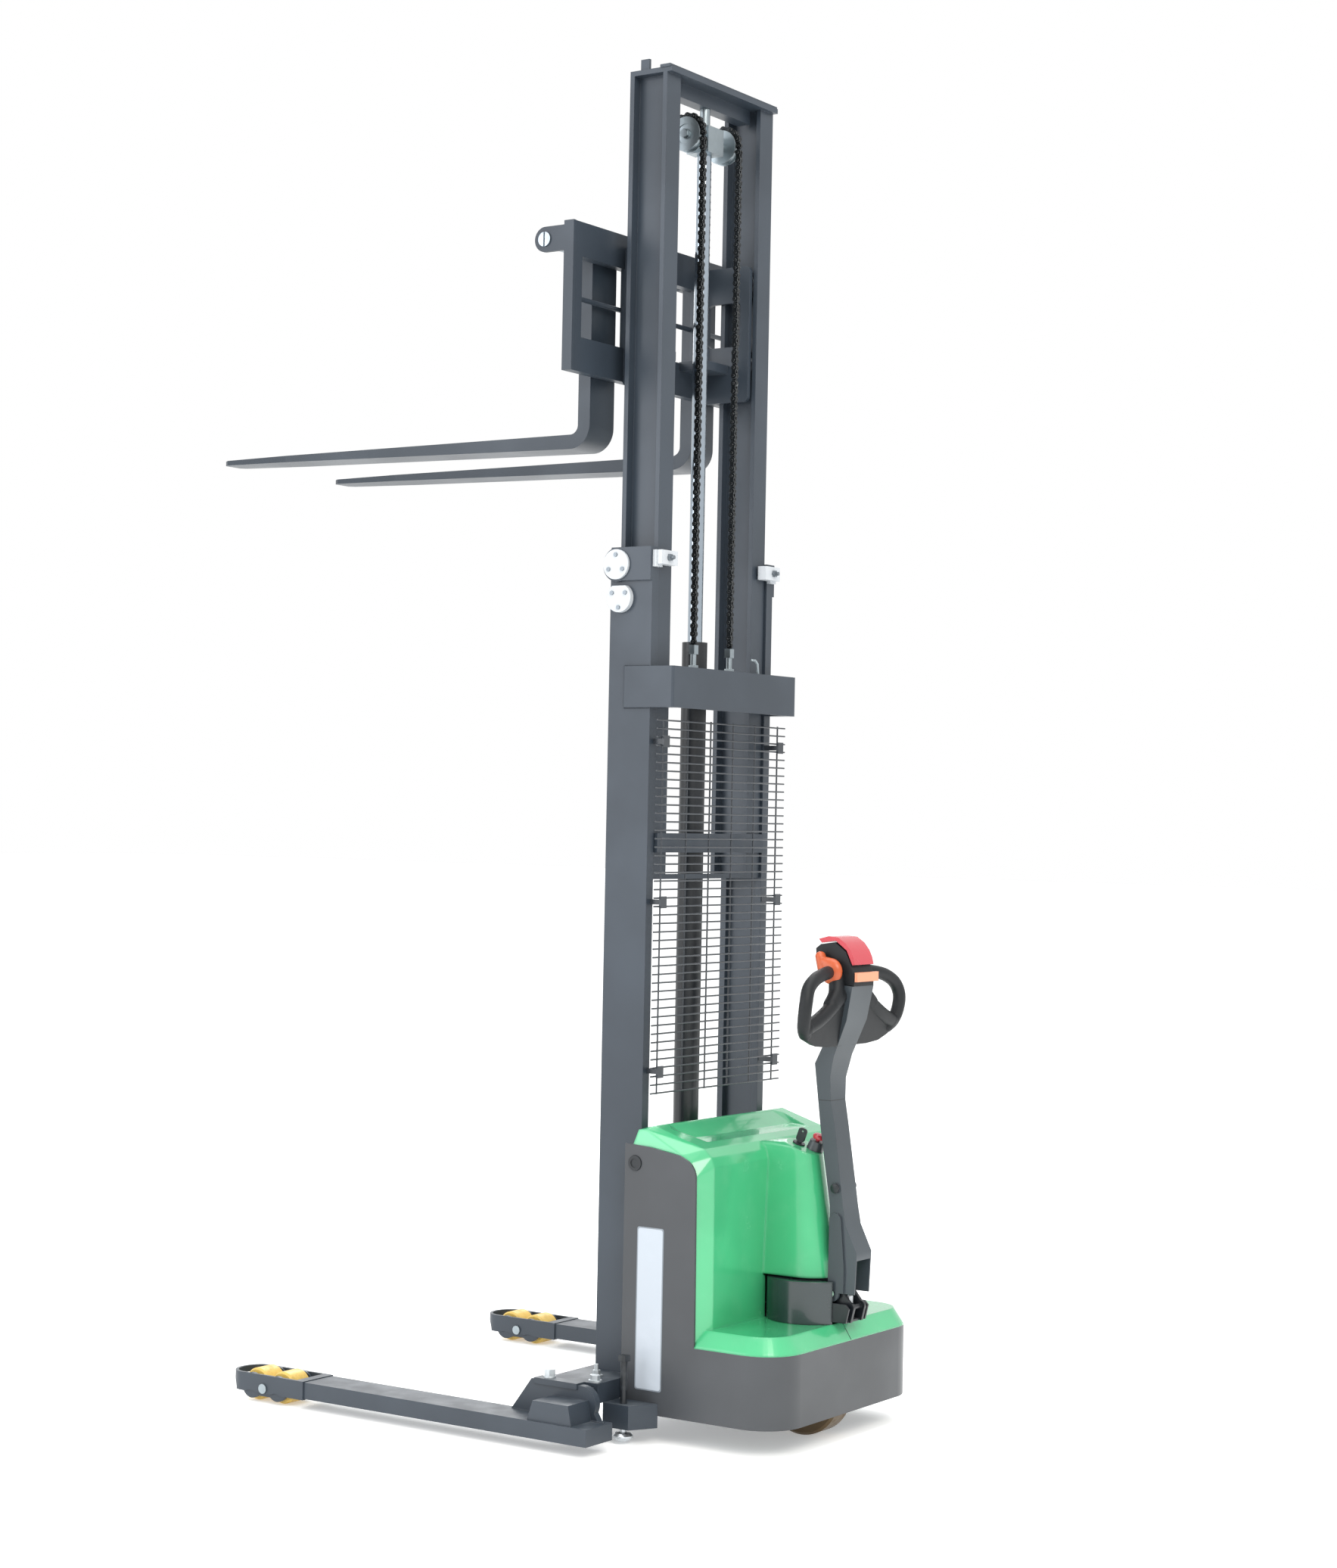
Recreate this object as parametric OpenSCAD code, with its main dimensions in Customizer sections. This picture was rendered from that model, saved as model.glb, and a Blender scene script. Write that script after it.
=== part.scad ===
// Pedestrian electric straddle stacker, millimetres, floor at z = 0.
// The forks point to -Y, the driver stands at +Y, x = 0 is the plane of symmetry.
// Lengths along y in the sections below are counted from the mast datum, a
// plane just behind the rear flanges of the rails. The model stands raised.

/* [Overall] */
// Mast datum to the fork tips
fork_reach = 1402; // [1000:1:1700]
// Mast datum to the rear face of the horn button, the rearmost point
tiller_reach = 463; // [455:1:500]
// How far the inner mast stands above its lowered place
raised_by = 1143; // [900:1:1300]
// Running gap between parts that move past each other
run_gap = 0.3; // [0.2:0.05:0.5]
// Radial clearance of a shaft in its bore
shaft_fit = 0.05; // [0.02:0.01:0.09]

/* [Outer mast] */
// Height of the rail tops above the floor
rail_top = 2095; // [1900:1:2300]
// Height of the rail feet above the floor
rail_foot = 138; // [130:1:150]
// Half width over the outer faces of the rails
rail_half = 268; // [260:1:280]
// Depth of the outer rails along y
rail_deep = 120; // [112:1:128]
// Width of an outer rail along x
rail_wide = 27; // [24:1:30]
// Web thickness of an outer rail
rail_web = 10; // [8:1:12]
// Flange thickness of an outer rail
rail_flange = 16; // [12:1:20]
// Rear face of the outer rails
rail_back = -10; // [-16:1:-6]
// Height of the crossbeam's lower edge
beam_low = 1713; // [1650:1:1760]
// Height of the crossbeam
beam_high = 98; // [80:1:120]
// Rear face of the crossbeam
beam_back = 60; // [50:1:80]
// Plate thickness of the crossbeam
beam_plate = 8; // [6:1:10]
// Length of the crossbeam's side wings
beam_wing = 145; // [110:1:160]

/* [Inner mast] */
// Length of the inner rails
inner_long = 1937; // [1850:1:1960]
// Width of an inner rail along x
inner_wide = 58; // [54:1:62]
// Depth of an inner rail along y
inner_deep = 107; // [100:1:110]
// Rear face of the inner rails
inner_back = -16; // [-20:1:-12]
// Web thickness of an inner rail
inner_web = 8; // [6:1:10]
// Flange thickness of an inner rail
inner_flange = 12; // [10:1:14]
// Gap between an outer rail's lip and the inner rail
rail_gap = 3; // [2:0.5:4]
// Height of the top crossbar
top_bar_high = 46; // [40:1:60]
// Gap under the inner rails, lowered
inner_foot_gap = 25; // [20:1:40]

/* [Lift cylinder and chains] */
// Cylinder centre along y
cylinder_y = -64; // [-68:1:-60]
// Outer radius of the barrel
barrel_r = 31; // [28:0.5:34]
// Wall of the barrel
barrel_wall = 6; // [5:0.5:8]
// Top of the barrel
barrel_top = 1860; // [1800:1:1900]
// Bottom of the barrel
barrel_low = 138; // [130:1:150]
// Rod radius
rod_r = 18; // [14:0.5:20]
// Pulley axle below the top of the inner mast
pulley_drop = 125; // [110:1:150]
// Pulley centres from the middle
pulley_x = 80; // [76:1:90]
// Pitch radius of the chain on the pulley
pulley_pitch_r = 46; // [42:1:50]
// Width of a pulley over its flanges
pulley_wide = 24; // [22:1:28]
// Pin to pin length of a chain link
chain_pitch = 19.05; // [15.875:3.175:25.4]
// Height of a chain plate
chain_plate_high = 16; // [13:0.5:17]
// Thickness of one chain plate
chain_plate = 2.6; // [2:0.1:3]
// Radius of a chain pin
chain_pin_r = 3; // [2:0.1:3.5]
// Height where the rear strands leave their anchors
anchor_z = 1872; // [1860:1:1890]
// Carriage's lower edge below the pulley axle
carriage_hang = 610; // [580:1:650]

/* [Carriage and forks] */
// Height of the carriage
carriage_high = 356; // [330:1:380]
// Half width of the carriage
carriage_half = 395; // [350:1:420]
// Rear face of the carriage bars
carriage_back = -170; // [-175:1:-160]
// Thickness of the carriage bars
carriage_bar = 26; // [20:1:28]
// Height of each carriage bar
carriage_bar_high = 82; // [70:1:90]
// Fork centres from the middle
fork_x = 221; // [200:1:260]
// Fork width
fork_wide = 100; // [80:1:120]
// Fork thickness at the shank
fork_thick = 35; // [30:1:40]
// Rear face of the fork shanks
fork_back = -200; // [-204:1:-199]
// Underside of the forks below the carriage's lower edge
fork_drop = 169; // [160:1:180]
// Fork thickness at the tip
fork_tip = 12; // [10:1:18]
// Radius of the shaft that the forks hang on
fork_shaft_r = 17.5; // [15:0.5:20]
// Height of the fork shaft over the carriage's lower edge
fork_shaft_up = 316; // [300:1:330]
// Distance of the fork shaft in front of the shanks' rear faces
fork_shaft_out = 52; // [50:1:60]

/* [Legs] */
// Leg centres from the middle
leg_x = 514; // [480:1:560]
// Leg width
leg_wide = 104; // [100:1:120]
// Underside of the leg beam
leg_low = 27; // [22:1:32]
// Top of the leg beam
leg_top = 67; // [60:1:74]
// Wall of the leg beam
leg_wall = 8; // [6:1:10]
// Front end of the legs, counted forwards
leg_reach = 1032; // [900:1:1100]
// Rear end of the legs
leg_back = 58; // [40:1:70]
// Length of the wheel head of a leg
leg_head = 246; // [235:1:260]
// Load wheel radius
load_wheel_r = 39; // [36:0.5:41]
// Load wheel width
load_wheel_wide = 64; // [56:1:66]
// Distance between the two wheels of a bogie
bogie_pitch = 82; // [82:1:88]
// Bogie pivot behind the leg's front end
bogie_back = 120; // [110:1:130]

/* [Body] */
// Half width of the body shell
body_half = 327; // [320:1:340]
// Rear face of the skirt
body_back = 416; // [405:1:430]
// Corner radius of the skirt in plan
body_corner = 100; // [80:1:120]
// Front edge of the side panels
body_front = -15; // [-20:1:-5]
// Underside of the body shell
body_low = 64; // [58:1:80]
// Top of the skirt, where the hood starts
skirt_top = 232; // [220:1:245]
// Top of the side panels at the mast
panel_top = 689; // [660:1:700]
// Rear edge of the side panels
panel_back = 186; // [170:1:195]
// Wall of the body shell
shell_wall = 6; // [4:0.5:8]
// Wall of the hood
hood_wall = 4; // [3:0.5:6]
// Height of the hood's rim
hood_top = 730; // [715:1:745]
// Height of the deck over the drive unit
deck_top = 272; // [265:1:280]
// Rear face of the upper hood
hood_back = 207; // [200:1:215]

/* [Drive unit] */
// Steering axis along y
steer_y = 300; // [290:1:306]
// Drive wheel radius
drive_wheel_r = 103; // [95:1:104]
// Drive wheel width
drive_wheel_wide = 70; // [60:1:72]
// Ring cover radius
ring_r = 103; // [98:1:108]
// Ring cover top
ring_top = 372; // [366:1:374]

/* [Tiller] */
// Tiller pivot along y
tiller_y = 383; // [381:1:386]
// Tiller pivot height
tiller_z = 344; // [340:1:348]
// Radius of the tiller pivot pin
tiller_pin_r = 9; // [7:0.5:10]
// Rearmost point of the tiller arm's belly
arm_belly = 446; // [440:1:452]
// Half width of the tiller arm at its foot
arm_half = 35; // [33:1:37]
// Wall of the tiller arm
arm_wall = 4; // [3:0.5:5]
// Tube thickness of the handle loops
grip_thick = 30; // [26:1:34]

/* [Hidden] */
$fn = 48;
eps = 0.01;
datum_y = (fork_reach - tiller_reach) / 2;
rail_front = rail_back - rail_deep;
rail_lip = rail_half - rail_wide;
outer_mid_y = rail_back - rail_deep / 2;
inner_edge = rail_lip - rail_gap;
inner_side = inner_edge - inner_wide;
inner_front = inner_back - inner_deep;
inner_mid_x = inner_side + inner_wide / 2;
inner_mid_y = inner_back - inner_deep / 2;
inner_low = rail_foot + inner_foot_gap + raised_by;
inner_top = inner_low + inner_long;
pulley_z = inner_top - pulley_drop;
carriage_low = pulley_z - carriage_hang;
chain_low_z = carriage_low + 114;
fork_low = carriage_low - fork_drop;
beam_half = rail_half + beam_plate;
pulley_y = cylinder_y + 4;
rear_strand_y = pulley_y + pulley_pitch_r;
front_strand_y = pulley_y - pulley_pitch_r;
outer_roller_r = rail_deep / 2 - rail_flange - run_gap;
inner_roller_r = inner_deep / 2 - inner_flange - run_gap;
roller_axle_r = 15;
carriage_front = carriage_back - carriage_bar;
carriage_top = carriage_low + carriage_high;
plate_x = inner_side - 2;
plate_thick = 12;
fork_shaft_y = fork_back - fork_shaft_out;
fork_shaft_z = carriage_low + fork_shaft_up;
bogie_y = -leg_reach + bogie_back;
pin_r = 8;

module placed() translate([0, datum_y, 0]) children();
module both() {
  children();
  mirror([1, 0, 0]) children();
}
// A box given by its two corners
module span(a, b) translate(a) cube(b - a);
// A rod along x from x0 to x1
module rod_x(x0, x1, y, z, r) translate([x0, y, z]) rotate([0, 90, 0]) cylinder(h = x1 - x0, r = r);
// A tube along x from x0 to x1
module tube_x(x0, x1, y, z, r, bore) difference() {
  rod_x(x0, x1, y, z, r);
  rod_x(x0 - 1, x1 + 1, y, z, bore);
}
// A side view of points [y, z] made solid from x0 to x1
module side(x0, x1) translate([x0, 0, 0]) rotate([90, 0, 90]) linear_extrude(x1 - x0) children();
// A front view of points [x, z] made solid from y0 to y1
module front(y0, y1) translate([0, y1, 0]) rotate([90, 0, 0]) linear_extrude(y1 - y0) children();
// A rounded rectangle in plan or in a view
module round_box(a, b, r) {
  translate([a[0] + r, a[1]]) square([b[0] - a[0] - 2 * r, b[1] - a[1]]);
  translate([a[0], a[1] + r]) square([b[0] - a[0], b[1] - a[1] - 2 * r]);
  for (x = [a[0] + r, b[0] - r]) for (y = [a[1] + r, b[1] - r]) translate([x, y]) circle(r);
}

// Outer mast: two channel rails, feet and the top brackets for the rollers
lobe_y = -107;
lobe_z = 2054;
cover_r = 36;
module outer_mast() color("#565d64") placed() {
  both() {
    translate([0, 0, rail_foot]) linear_extrude(rail_top - rail_foot) {
      translate([rail_half - rail_web, rail_front]) square([rail_web, rail_deep]);
      translate([rail_lip, rail_front]) square([rail_wide, rail_flange]);
      translate([rail_lip, rail_back - rail_flange]) square([rail_wide, rail_flange]);
    }
    rod_x(inner_mid_x + inner_web / 2 + 1, rail_half, inner_mid_y, top_roller_z, roller_axle_r);
    side(rail_half, rail_half + bracket_thick) difference() {
      union() {
        translate([rail_front + 6, rail_top - bracket_high]) square([rail_deep - 6, bracket_high]);
        translate([lobe_y, lobe_z]) circle(cover_r + 5);
      }
      translate([lobe_y - 60, rail_top + 2]) square([200, 60]);
    }
  }
}
bracket_thick = 8;
bracket_high = 80;
top_roller_z = 1990;

// Rear crossbeam: a plate with wings welded to the rails, and its chain bracket
module rear_crossbeam() color("#565d64") placed() {
  translate([0, 0, beam_low]) linear_extrude(beam_high) difference() {
    round_box([-beam_half, beam_back - beam_wing], [beam_half, beam_back], 6);
    translate([-rail_half, beam_back - beam_wing - 1]) square([2 * rail_half, beam_wing + 1 - beam_plate]);
  }
  both() span([rail_lip, rail_back, beam_low], [rail_half, beam_back - beam_plate, beam_low + 12]);
  both() difference() {
    span([pulley_x - 26, rear_strand_y - 22, beam_low + beam_high - 12],
      [pulley_x + 26, beam_back - beam_plate, beam_low + beam_high]);
    translate([pulley_x, rear_strand_y, beam_low]) cylinder(h = 2 * beam_high, r = anchor_r + shaft_fit);
  }
}
anchor_r = 7;
anchor_block = 22;
module chain_anchors() color("silver") placed() both() translate([pulley_x, rear_strand_y, 0]) {
  plate_top = beam_low + beam_high;
  translate([0, 0, plate_top - 14]) cylinder(h = anchor_z - plate_top + 14 - anchor_block, r = anchor_r);
  translate([0, 0, plate_top]) cylinder(h = 12, r = 12, $fn = 6);
  translate([-9, -8, anchor_z - anchor_block]) cube([18, 16, anchor_block]);
}

// Mesh guard of welded wires behind the lower mast
mesh_low = 803;
mesh_top = 1690;
mesh_half = 285;
mesh_step = 20;
wire_r = 2;
mesh_y = beam_back - 36;
upright_x = [-255, -150, -50, 50, 150, 255];
module mesh_guard() color("#3b4046") placed() {
  for (z = [mesh_low : mesh_step : mesh_top])
    rod_x(-mesh_half, mesh_half, mesh_y, z, wire_r);
  for (x = upright_x)
    translate([x, mesh_y - 1.5 * wire_r, mesh_low - 3]) cylinder(h = mesh_top - mesh_low, r = wire_r);
}
// Clips sit between two wires, at these counts of wire steps
clip_steps = [2.5, 22.5, 41.5];
module guard_clips() color("#2b2f33") placed() both() for (i = clip_steps) {
  z = mesh_low + i * mesh_step;
  span([rail_lip + 2, mesh_y + wire_r + run_gap, z - 14], [rail_lip + 26, mesh_y + 8, z + 14]);
  span([rail_lip + 2, rail_back, z - 6], [rail_lip + 10, mesh_y + wire_r + 1, z + 6]);
}

// White covers over the roller axles, on the outside of each rail
cover_thick = 7;
low_cover_y = -98;
low_cover_z = 1974;
low_cover_r = 34.5;
module roller_covers() color("#e8eaec") placed() both() {
  x0 = rail_half + bracket_thick;
  rod_x(x0, x0 + cover_thick, lobe_y, lobe_z, cover_r);
  side(x0 - bracket_thick, x0 + cover_thick - 2) difference() {
    translate([low_cover_y, low_cover_z]) circle(low_cover_r);
    translate([low_cover_y - cover_r, low_cover_z + 29]) square([2 * cover_r, cover_r]);
  }
}
// Guide blocks behind the inner rails, each with its adjusting screw
pad_low = rail_top - 42;
pad_high = 34;
pad_inner = inner_side + 18;
screw_x = inner_edge - 4;
module wear_pads() color("#dfe3e6") placed() both() difference() {
  union() {
    span([rail_lip, rail_back, pad_low - 6], [rail_half, rail_back + 10, pad_low + pad_high]);
    span([pad_inner, rail_back + 0.3, pad_low], [rail_half - 4, rail_back + 24, pad_low + pad_high]);
  }
  translate([screw_x, rail_back - 1, pad_low + pad_high / 2]) rotate([-90, 0, 0]) cylinder(h = 40, r = 5);
}
module mast_bolts() color("silver") placed() both() {
  translate([screw_x, rail_back + 1, pad_low + pad_high / 2]) rotate([-90, 0, 0]) {
    cylinder(h = 38, r = 5 - shaft_fit);
    translate([0, 0, 23.3]) cylinder(h = 7, r = 9, $fn = 6);
  }
  x0 = rail_half + bracket_thick + cover_thick;
  for (t = [90, 210, 330])
    rod_x(x0, x0 + 3, lobe_y + 23 * cos(t), lobe_z + 23 * sin(t), 5);
  for (p = [[0, -23], [-19, 12], [19, 12]])
    rod_x(x0 - 2, x0 + 1, low_cover_y + p[0], low_cover_z + p[1], 5);
}

// Mast rollers: each pair turns on stub axles in one line
module stub_rollers(x0, x1, y, z, r) both() tube_x(x0, x1, y, z, r, roller_axle_r + shaft_fit);
module top_rollers() color("#8d949b") placed() {
  stub_rollers(inner_mid_x + inner_web / 2 + 1, inner_edge - 1, inner_mid_y, top_roller_z, inner_roller_r);
}
bottom_roller_z = inner_low + 62;
module bottom_rollers() color("#8d949b") placed() {
  stub_rollers(rail_lip + 0.5, rail_half - rail_web - 1, outer_mid_y, bottom_roller_z, outer_roller_r);
}

// Inner mast: two I rails, top bar, lower ties, stub axles of the bottom rollers
tie_low = inner_low + 64;
tie_high = 46;
top_plate = 12;
module inner_mast() color("#5d646b") placed() {
  both() translate([0, 0, inner_low]) linear_extrude(inner_long) {
    translate([inner_mid_x - inner_web / 2, inner_front]) square([inner_web, inner_deep]);
    translate([inner_side, inner_front]) square([inner_wide, inner_flange]);
    translate([inner_side, inner_back - inner_flange]) square([inner_wide, inner_flange]);
  }
  both() rod_x(inner_mid_x, rail_half - rail_web - 0.6, outer_mid_y, bottom_roller_z, roller_axle_r);
  both() span([inner_mid_x, inner_front + inner_flange - 1, bottom_roller_z - 20],
    [inner_edge - 2, inner_back - inner_flange + 1, bottom_roller_z + 20]);
  // Top plate with a cap strip, a box crossbar under it and two lifting fins
  span([-inner_edge, inner_front, inner_top - top_plate], [inner_edge, inner_back + 14, inner_top]);
  span([-inner_edge - 3, inner_back - 19, inner_top - 1], [inner_edge + 3, inner_back + 10, inner_top + 6]);
  span([-inner_side - 1, cylinder_y - 20, inner_top - top_bar_high], [inner_side + 1, cylinder_y + 16, inner_top - top_plate + 1]);
  both() span([inner_edge - 12, inner_mid_y - 26, inner_top - 1], [inner_edge - 4, inner_mid_y - 2, inner_top + 26]);
  span([-inner_edge, inner_back - 1, tie_low], [inner_edge, inner_back + 14, tie_low + tie_high]);
  span([-inner_edge, inner_back - 6, inner_low], [inner_edge, inner_back, inner_low + 12]);
}

// Lift cylinder
module cylinder_barrel() color("#3f454b") placed() translate([0, cylinder_y, 0]) {
  difference() {
    translate([0, 0, barrel_low]) cylinder(h = barrel_top - barrel_low, r = barrel_r);
    translate([0, 0, barrel_low + 20]) cylinder(h = barrel_top, r = barrel_r - barrel_wall);
  }
}
gland_high = 24;
module cylinder_gland() color("#2f3439") placed() translate([0, cylinder_y, barrel_top]) difference() {
  cylinder(h = gland_high, r = barrel_r);
  translate([0, 0, -1]) cylinder(h = gland_high + 2, r = rod_r + shaft_fit);
}
rod_low = barrel_low + raised_by + 26;
head_low = pulley_z - 34;
module lift_rod() color("#d5d9dc") placed() translate([0, cylinder_y, 0]) {
  translate([0, 0, rod_low]) cylinder(h = head_low - rod_low, r = rod_r);
  translate([0, 0, rod_low]) cylinder(h = 40, r = barrel_r - barrel_wall - shaft_fit);
}
pulley_axle_r = 10;
module crosshead() color("#9aa1a8") placed() {
  difference() {
    span([-34, cylinder_y - 30, head_low], [34, cylinder_y + 34, pulley_z + 30]);
    translate([0, cylinder_y - 31, pulley_z + 12]) rotate([-90, 0, 0]) cylinder(h = 20, r = 6);
  }
  both() rod_x(33, pulley_x + pulley_wide / 2 + 8, pulley_y, pulley_z, pulley_axle_r);
  both() rod_x(pulley_x + pulley_wide / 2 + 0.5, pulley_x + pulley_wide / 2 + 6, pulley_y, pulley_z, 12, $fn = 6);
  translate([0, cylinder_y, pulley_z + 30 - eps]) cylinder(h = inner_top - top_bar_high - pulley_z - 30 + eps, r = 13);
}
module chain_pulleys() color("#b9bec3") placed() both() difference() {
  groove = chain_plate_high / 2 + 0.5;
  flange_r = pulley_pitch_r - 4;
  union() {
    rod_x(pulley_x - pulley_wide / 2, pulley_x + pulley_wide / 2, pulley_y, pulley_z, pulley_pitch_r - groove);
    for (s = [-1, 1])
      rod_x(pulley_x + s * (pulley_wide / 2 - 1.5) - 1.5, pulley_x + s * (pulley_wide / 2 - 1.5) + 1.5,
        pulley_y, pulley_z, flange_r);
  }
  // A ring is sunk into each outer face round the axle nut
  difference() {
    rod_x(pulley_x + pulley_wide / 2 - 2, pulley_x + pulley_wide, pulley_y, pulley_z, 24);
    rod_x(pulley_x, pulley_x + pulley_wide, pulley_y, pulley_z, 13);
  }
  rod_x(pulley_x - pulley_wide, pulley_x + pulley_wide, pulley_y, pulley_z, pulley_axle_r + shaft_fit);
}

// Leaf chain: links of plates and pins, laid from the origin up along z
plate_gap = 0.1;
module link_plate(x0, x1, pitch) side(x0, x1) {
  circle(chain_plate_high / 2, $fn = 24);
  translate([0, pitch]) circle(chain_plate_high / 2, $fn = 24);
  translate([-0.36 * chain_plate_high, 0]) square([0.72 * chain_plate_high, pitch]);
}
module chain_link(inner, pitch) {
  w = chain_plate;
  if (inner) link_plate(-w, w, pitch);
  else both() link_plate(w + plate_gap, 2 * w, pitch);
}
module chain_pin() rod_x(-3 * chain_plate, 3 * chain_plate, 0, 0, chain_pin_r, $fn = 16);
module chain_run(long) {
  count = round(long / chain_pitch);
  pitch = long / count;
  for (i = [0 : count - 1]) translate([0, 0, i * pitch]) {
    chain_link(i % 2 == 0, pitch);
    chain_pin();
  }
  translate([0, 0, long]) chain_pin();
}
link_r = chain_plate_high / 2;
run_end = pulley_z - 2 * link_r - run_gap;
module rear_chains() color("#26292c") placed() both()
  translate([pulley_x, rear_strand_y, anchor_z + link_r + run_gap]) chain_run(run_end - anchor_z - link_r - run_gap);
module front_chains() color("#26292c") placed() both()
  translate([pulley_x, front_strand_y, chain_low_z + link_r + run_gap]) chain_run(run_end - chain_low_z - link_r - run_gap);
module chain_wraps() color("#26292c") placed() {
  count = round(180 / (2 * asin(chain_pitch / 2 / pulley_pitch_r)));
  step = 180 / count;
  pitch = 2 * pulley_pitch_r * sin(step / 2);
  both() translate([pulley_x, pulley_y, pulley_z]) {
    for (i = [0 : count - 1]) rotate([i * step, 0, 0]) translate([0, pulley_pitch_r, 0])
      rotate([step / 2, 0, 0]) {
        chain_link(i % 2 == 0, pitch);
        chain_pin();
      }
    translate([0, -pulley_pitch_r, 0]) chain_pin();
  }
}

// Carriage: front bars, end plates with ears, uprights and the roller plates
ear_r = 30;
roller_plate_top = carriage_low + 330;
upper_roller_z = carriage_low + 286;
lower_roller_z = carriage_low + 84;
module carriage_frame() color("#565d64") placed() {
  span([-carriage_half, carriage_front, carriage_low], [carriage_half, carriage_back, carriage_low + carriage_bar_high]);
  span([-carriage_half, carriage_front, carriage_top - carriage_bar_high], [carriage_half, carriage_back, carriage_top]);
  both() {
    side(carriage_half - 10, carriage_half) difference() {
      union() {
        translate([carriage_front, carriage_low]) square([carriage_bar + 2, carriage_high]);
        hull() {
          translate([fork_shaft_y, fork_shaft_z]) circle(ear_r);
          translate([carriage_front, fork_shaft_z - ear_r]) square([4, 2 * ear_r]);
        }
      }
      translate([fork_shaft_y, fork_shaft_z]) circle(fork_shaft_r + shaft_fit);
    }
    span([carriage_half - 40, carriage_back - 8, carriage_low + 1], [carriage_half, carriage_back, carriage_top - 1]);
    span([plate_x - 50, carriage_back - 12, carriage_low + 1], [plate_x, carriage_back, carriage_top - 1]);
    // Roller plates reach into the rails and carry the stub axles
    side(plate_x - plate_thick, plate_x) difference() {
      translate([0, carriage_low - 10]) round_box([carriage_back - 2, 0], [inner_back - 14, roller_plate_top - carriage_low + 10], 14);
      translate([0, carriage_low]) round_box([carriage_back + 18, 130], [inner_back - 40, 240], 12);
    }
    for (z = [upper_roller_z, lower_roller_z]) rod_x(plate_x - 1, inner_mid_x - inner_web / 2 - 1.5, inner_mid_y, z, roller_axle_r);
    // Chain anchor ledges on the roller plates
    span([pulley_x - 14, carriage_back - 1, chain_low_z - 52], [plate_x - plate_thick + 1, front_strand_y + 14, chain_low_z - 30]);
    span([pulley_x - 9, front_strand_y - 8, chain_low_z - 31], [pulley_x + 9, front_strand_y + 8, chain_low_z]);
  }
  rod_x(-plate_x - 5, plate_x + 5, carriage_back - 14, carriage_low + 176, 6);
  both() rod_x(plate_x, carriage_half - 5, carriage_back - 14, carriage_low + 176, 6);
}
module carriage_rollers(z) stub_rollers(inner_side + 1, inner_mid_x - inner_web / 2 - 1, inner_mid_y, z, inner_roller_r);
module upper_rollers() color("#8d949b") placed() carriage_rollers(upper_roller_z);
module lower_rollers() color("#8d949b") placed() carriage_rollers(lower_roller_z);
module fork_shaft() color("#c4c9cd") placed() difference() {
  rod_x(-carriage_half - 4, carriage_half + 4, fork_shaft_y, fork_shaft_z, fork_shaft_r);
  both() span([carriage_half, fork_shaft_y - 2, fork_shaft_z - 20], [carriage_half + 5, fork_shaft_y + 2, fork_shaft_z + 20]);
}

// Forks: a hook eye on the shaft, a shank and a tapered blade
fork_heel_r = 22;
module fork() placed() {
  shank_front = fork_back - fork_thick;
  difference() {
    union() {
      side(-fork_wide / 2, fork_wide / 2) difference() {
        union() {
          // Shank with a rounded heel
          translate([shank_front, fork_low + fork_heel_r + fork_thick]) square([fork_thick, fork_shaft_z - fork_low - fork_heel_r - fork_thick]);
          translate([shank_front - fork_heel_r, fork_low + fork_heel_r + fork_thick]) intersection() {
            difference() {
              circle(fork_heel_r + fork_thick, $fn = 64);
              circle(fork_heel_r, $fn = 64);
            }
            translate([0, -200]) square([200, 200]);
          }
          polygon([[shank_front - fork_heel_r, fork_low], [shank_front - fork_heel_r, fork_low + fork_thick],
            [-fork_reach, fork_low + fork_thick], [-fork_reach, fork_low + fork_thick - fork_tip]]);
        }
      }
      rod_x(-fork_wide / 2, fork_wide / 2, fork_shaft_y, fork_shaft_z, fork_shaft_r + 12);
      span([-fork_wide / 2, fork_shaft_y, fork_shaft_z - 26], [fork_wide / 2, fork_back, fork_shaft_z + 10]);
    }
    rod_x(-fork_wide, fork_wide, fork_shaft_y, fork_shaft_z, fork_shaft_r + shaft_fit);
    // The blade narrows towards a rounded tip
    for (s = [-1, 1]) translate([0, 0, fork_low - 1]) linear_extrude(fork_thick + 2)
      polygon([[s * fork_wide / 2, -fork_reach + 230], [s * (fork_wide / 2 + 1), -fork_reach - 1],
        [s * 26, -fork_reach - 1], [s * 38, -fork_reach + 16]]);
  }
}
module fork_left() color("#3b4550") translate([-fork_x, 0, 0]) fork();
module fork_right() color("#3b4550") translate([fork_x, 0, 0]) fork();

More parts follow.
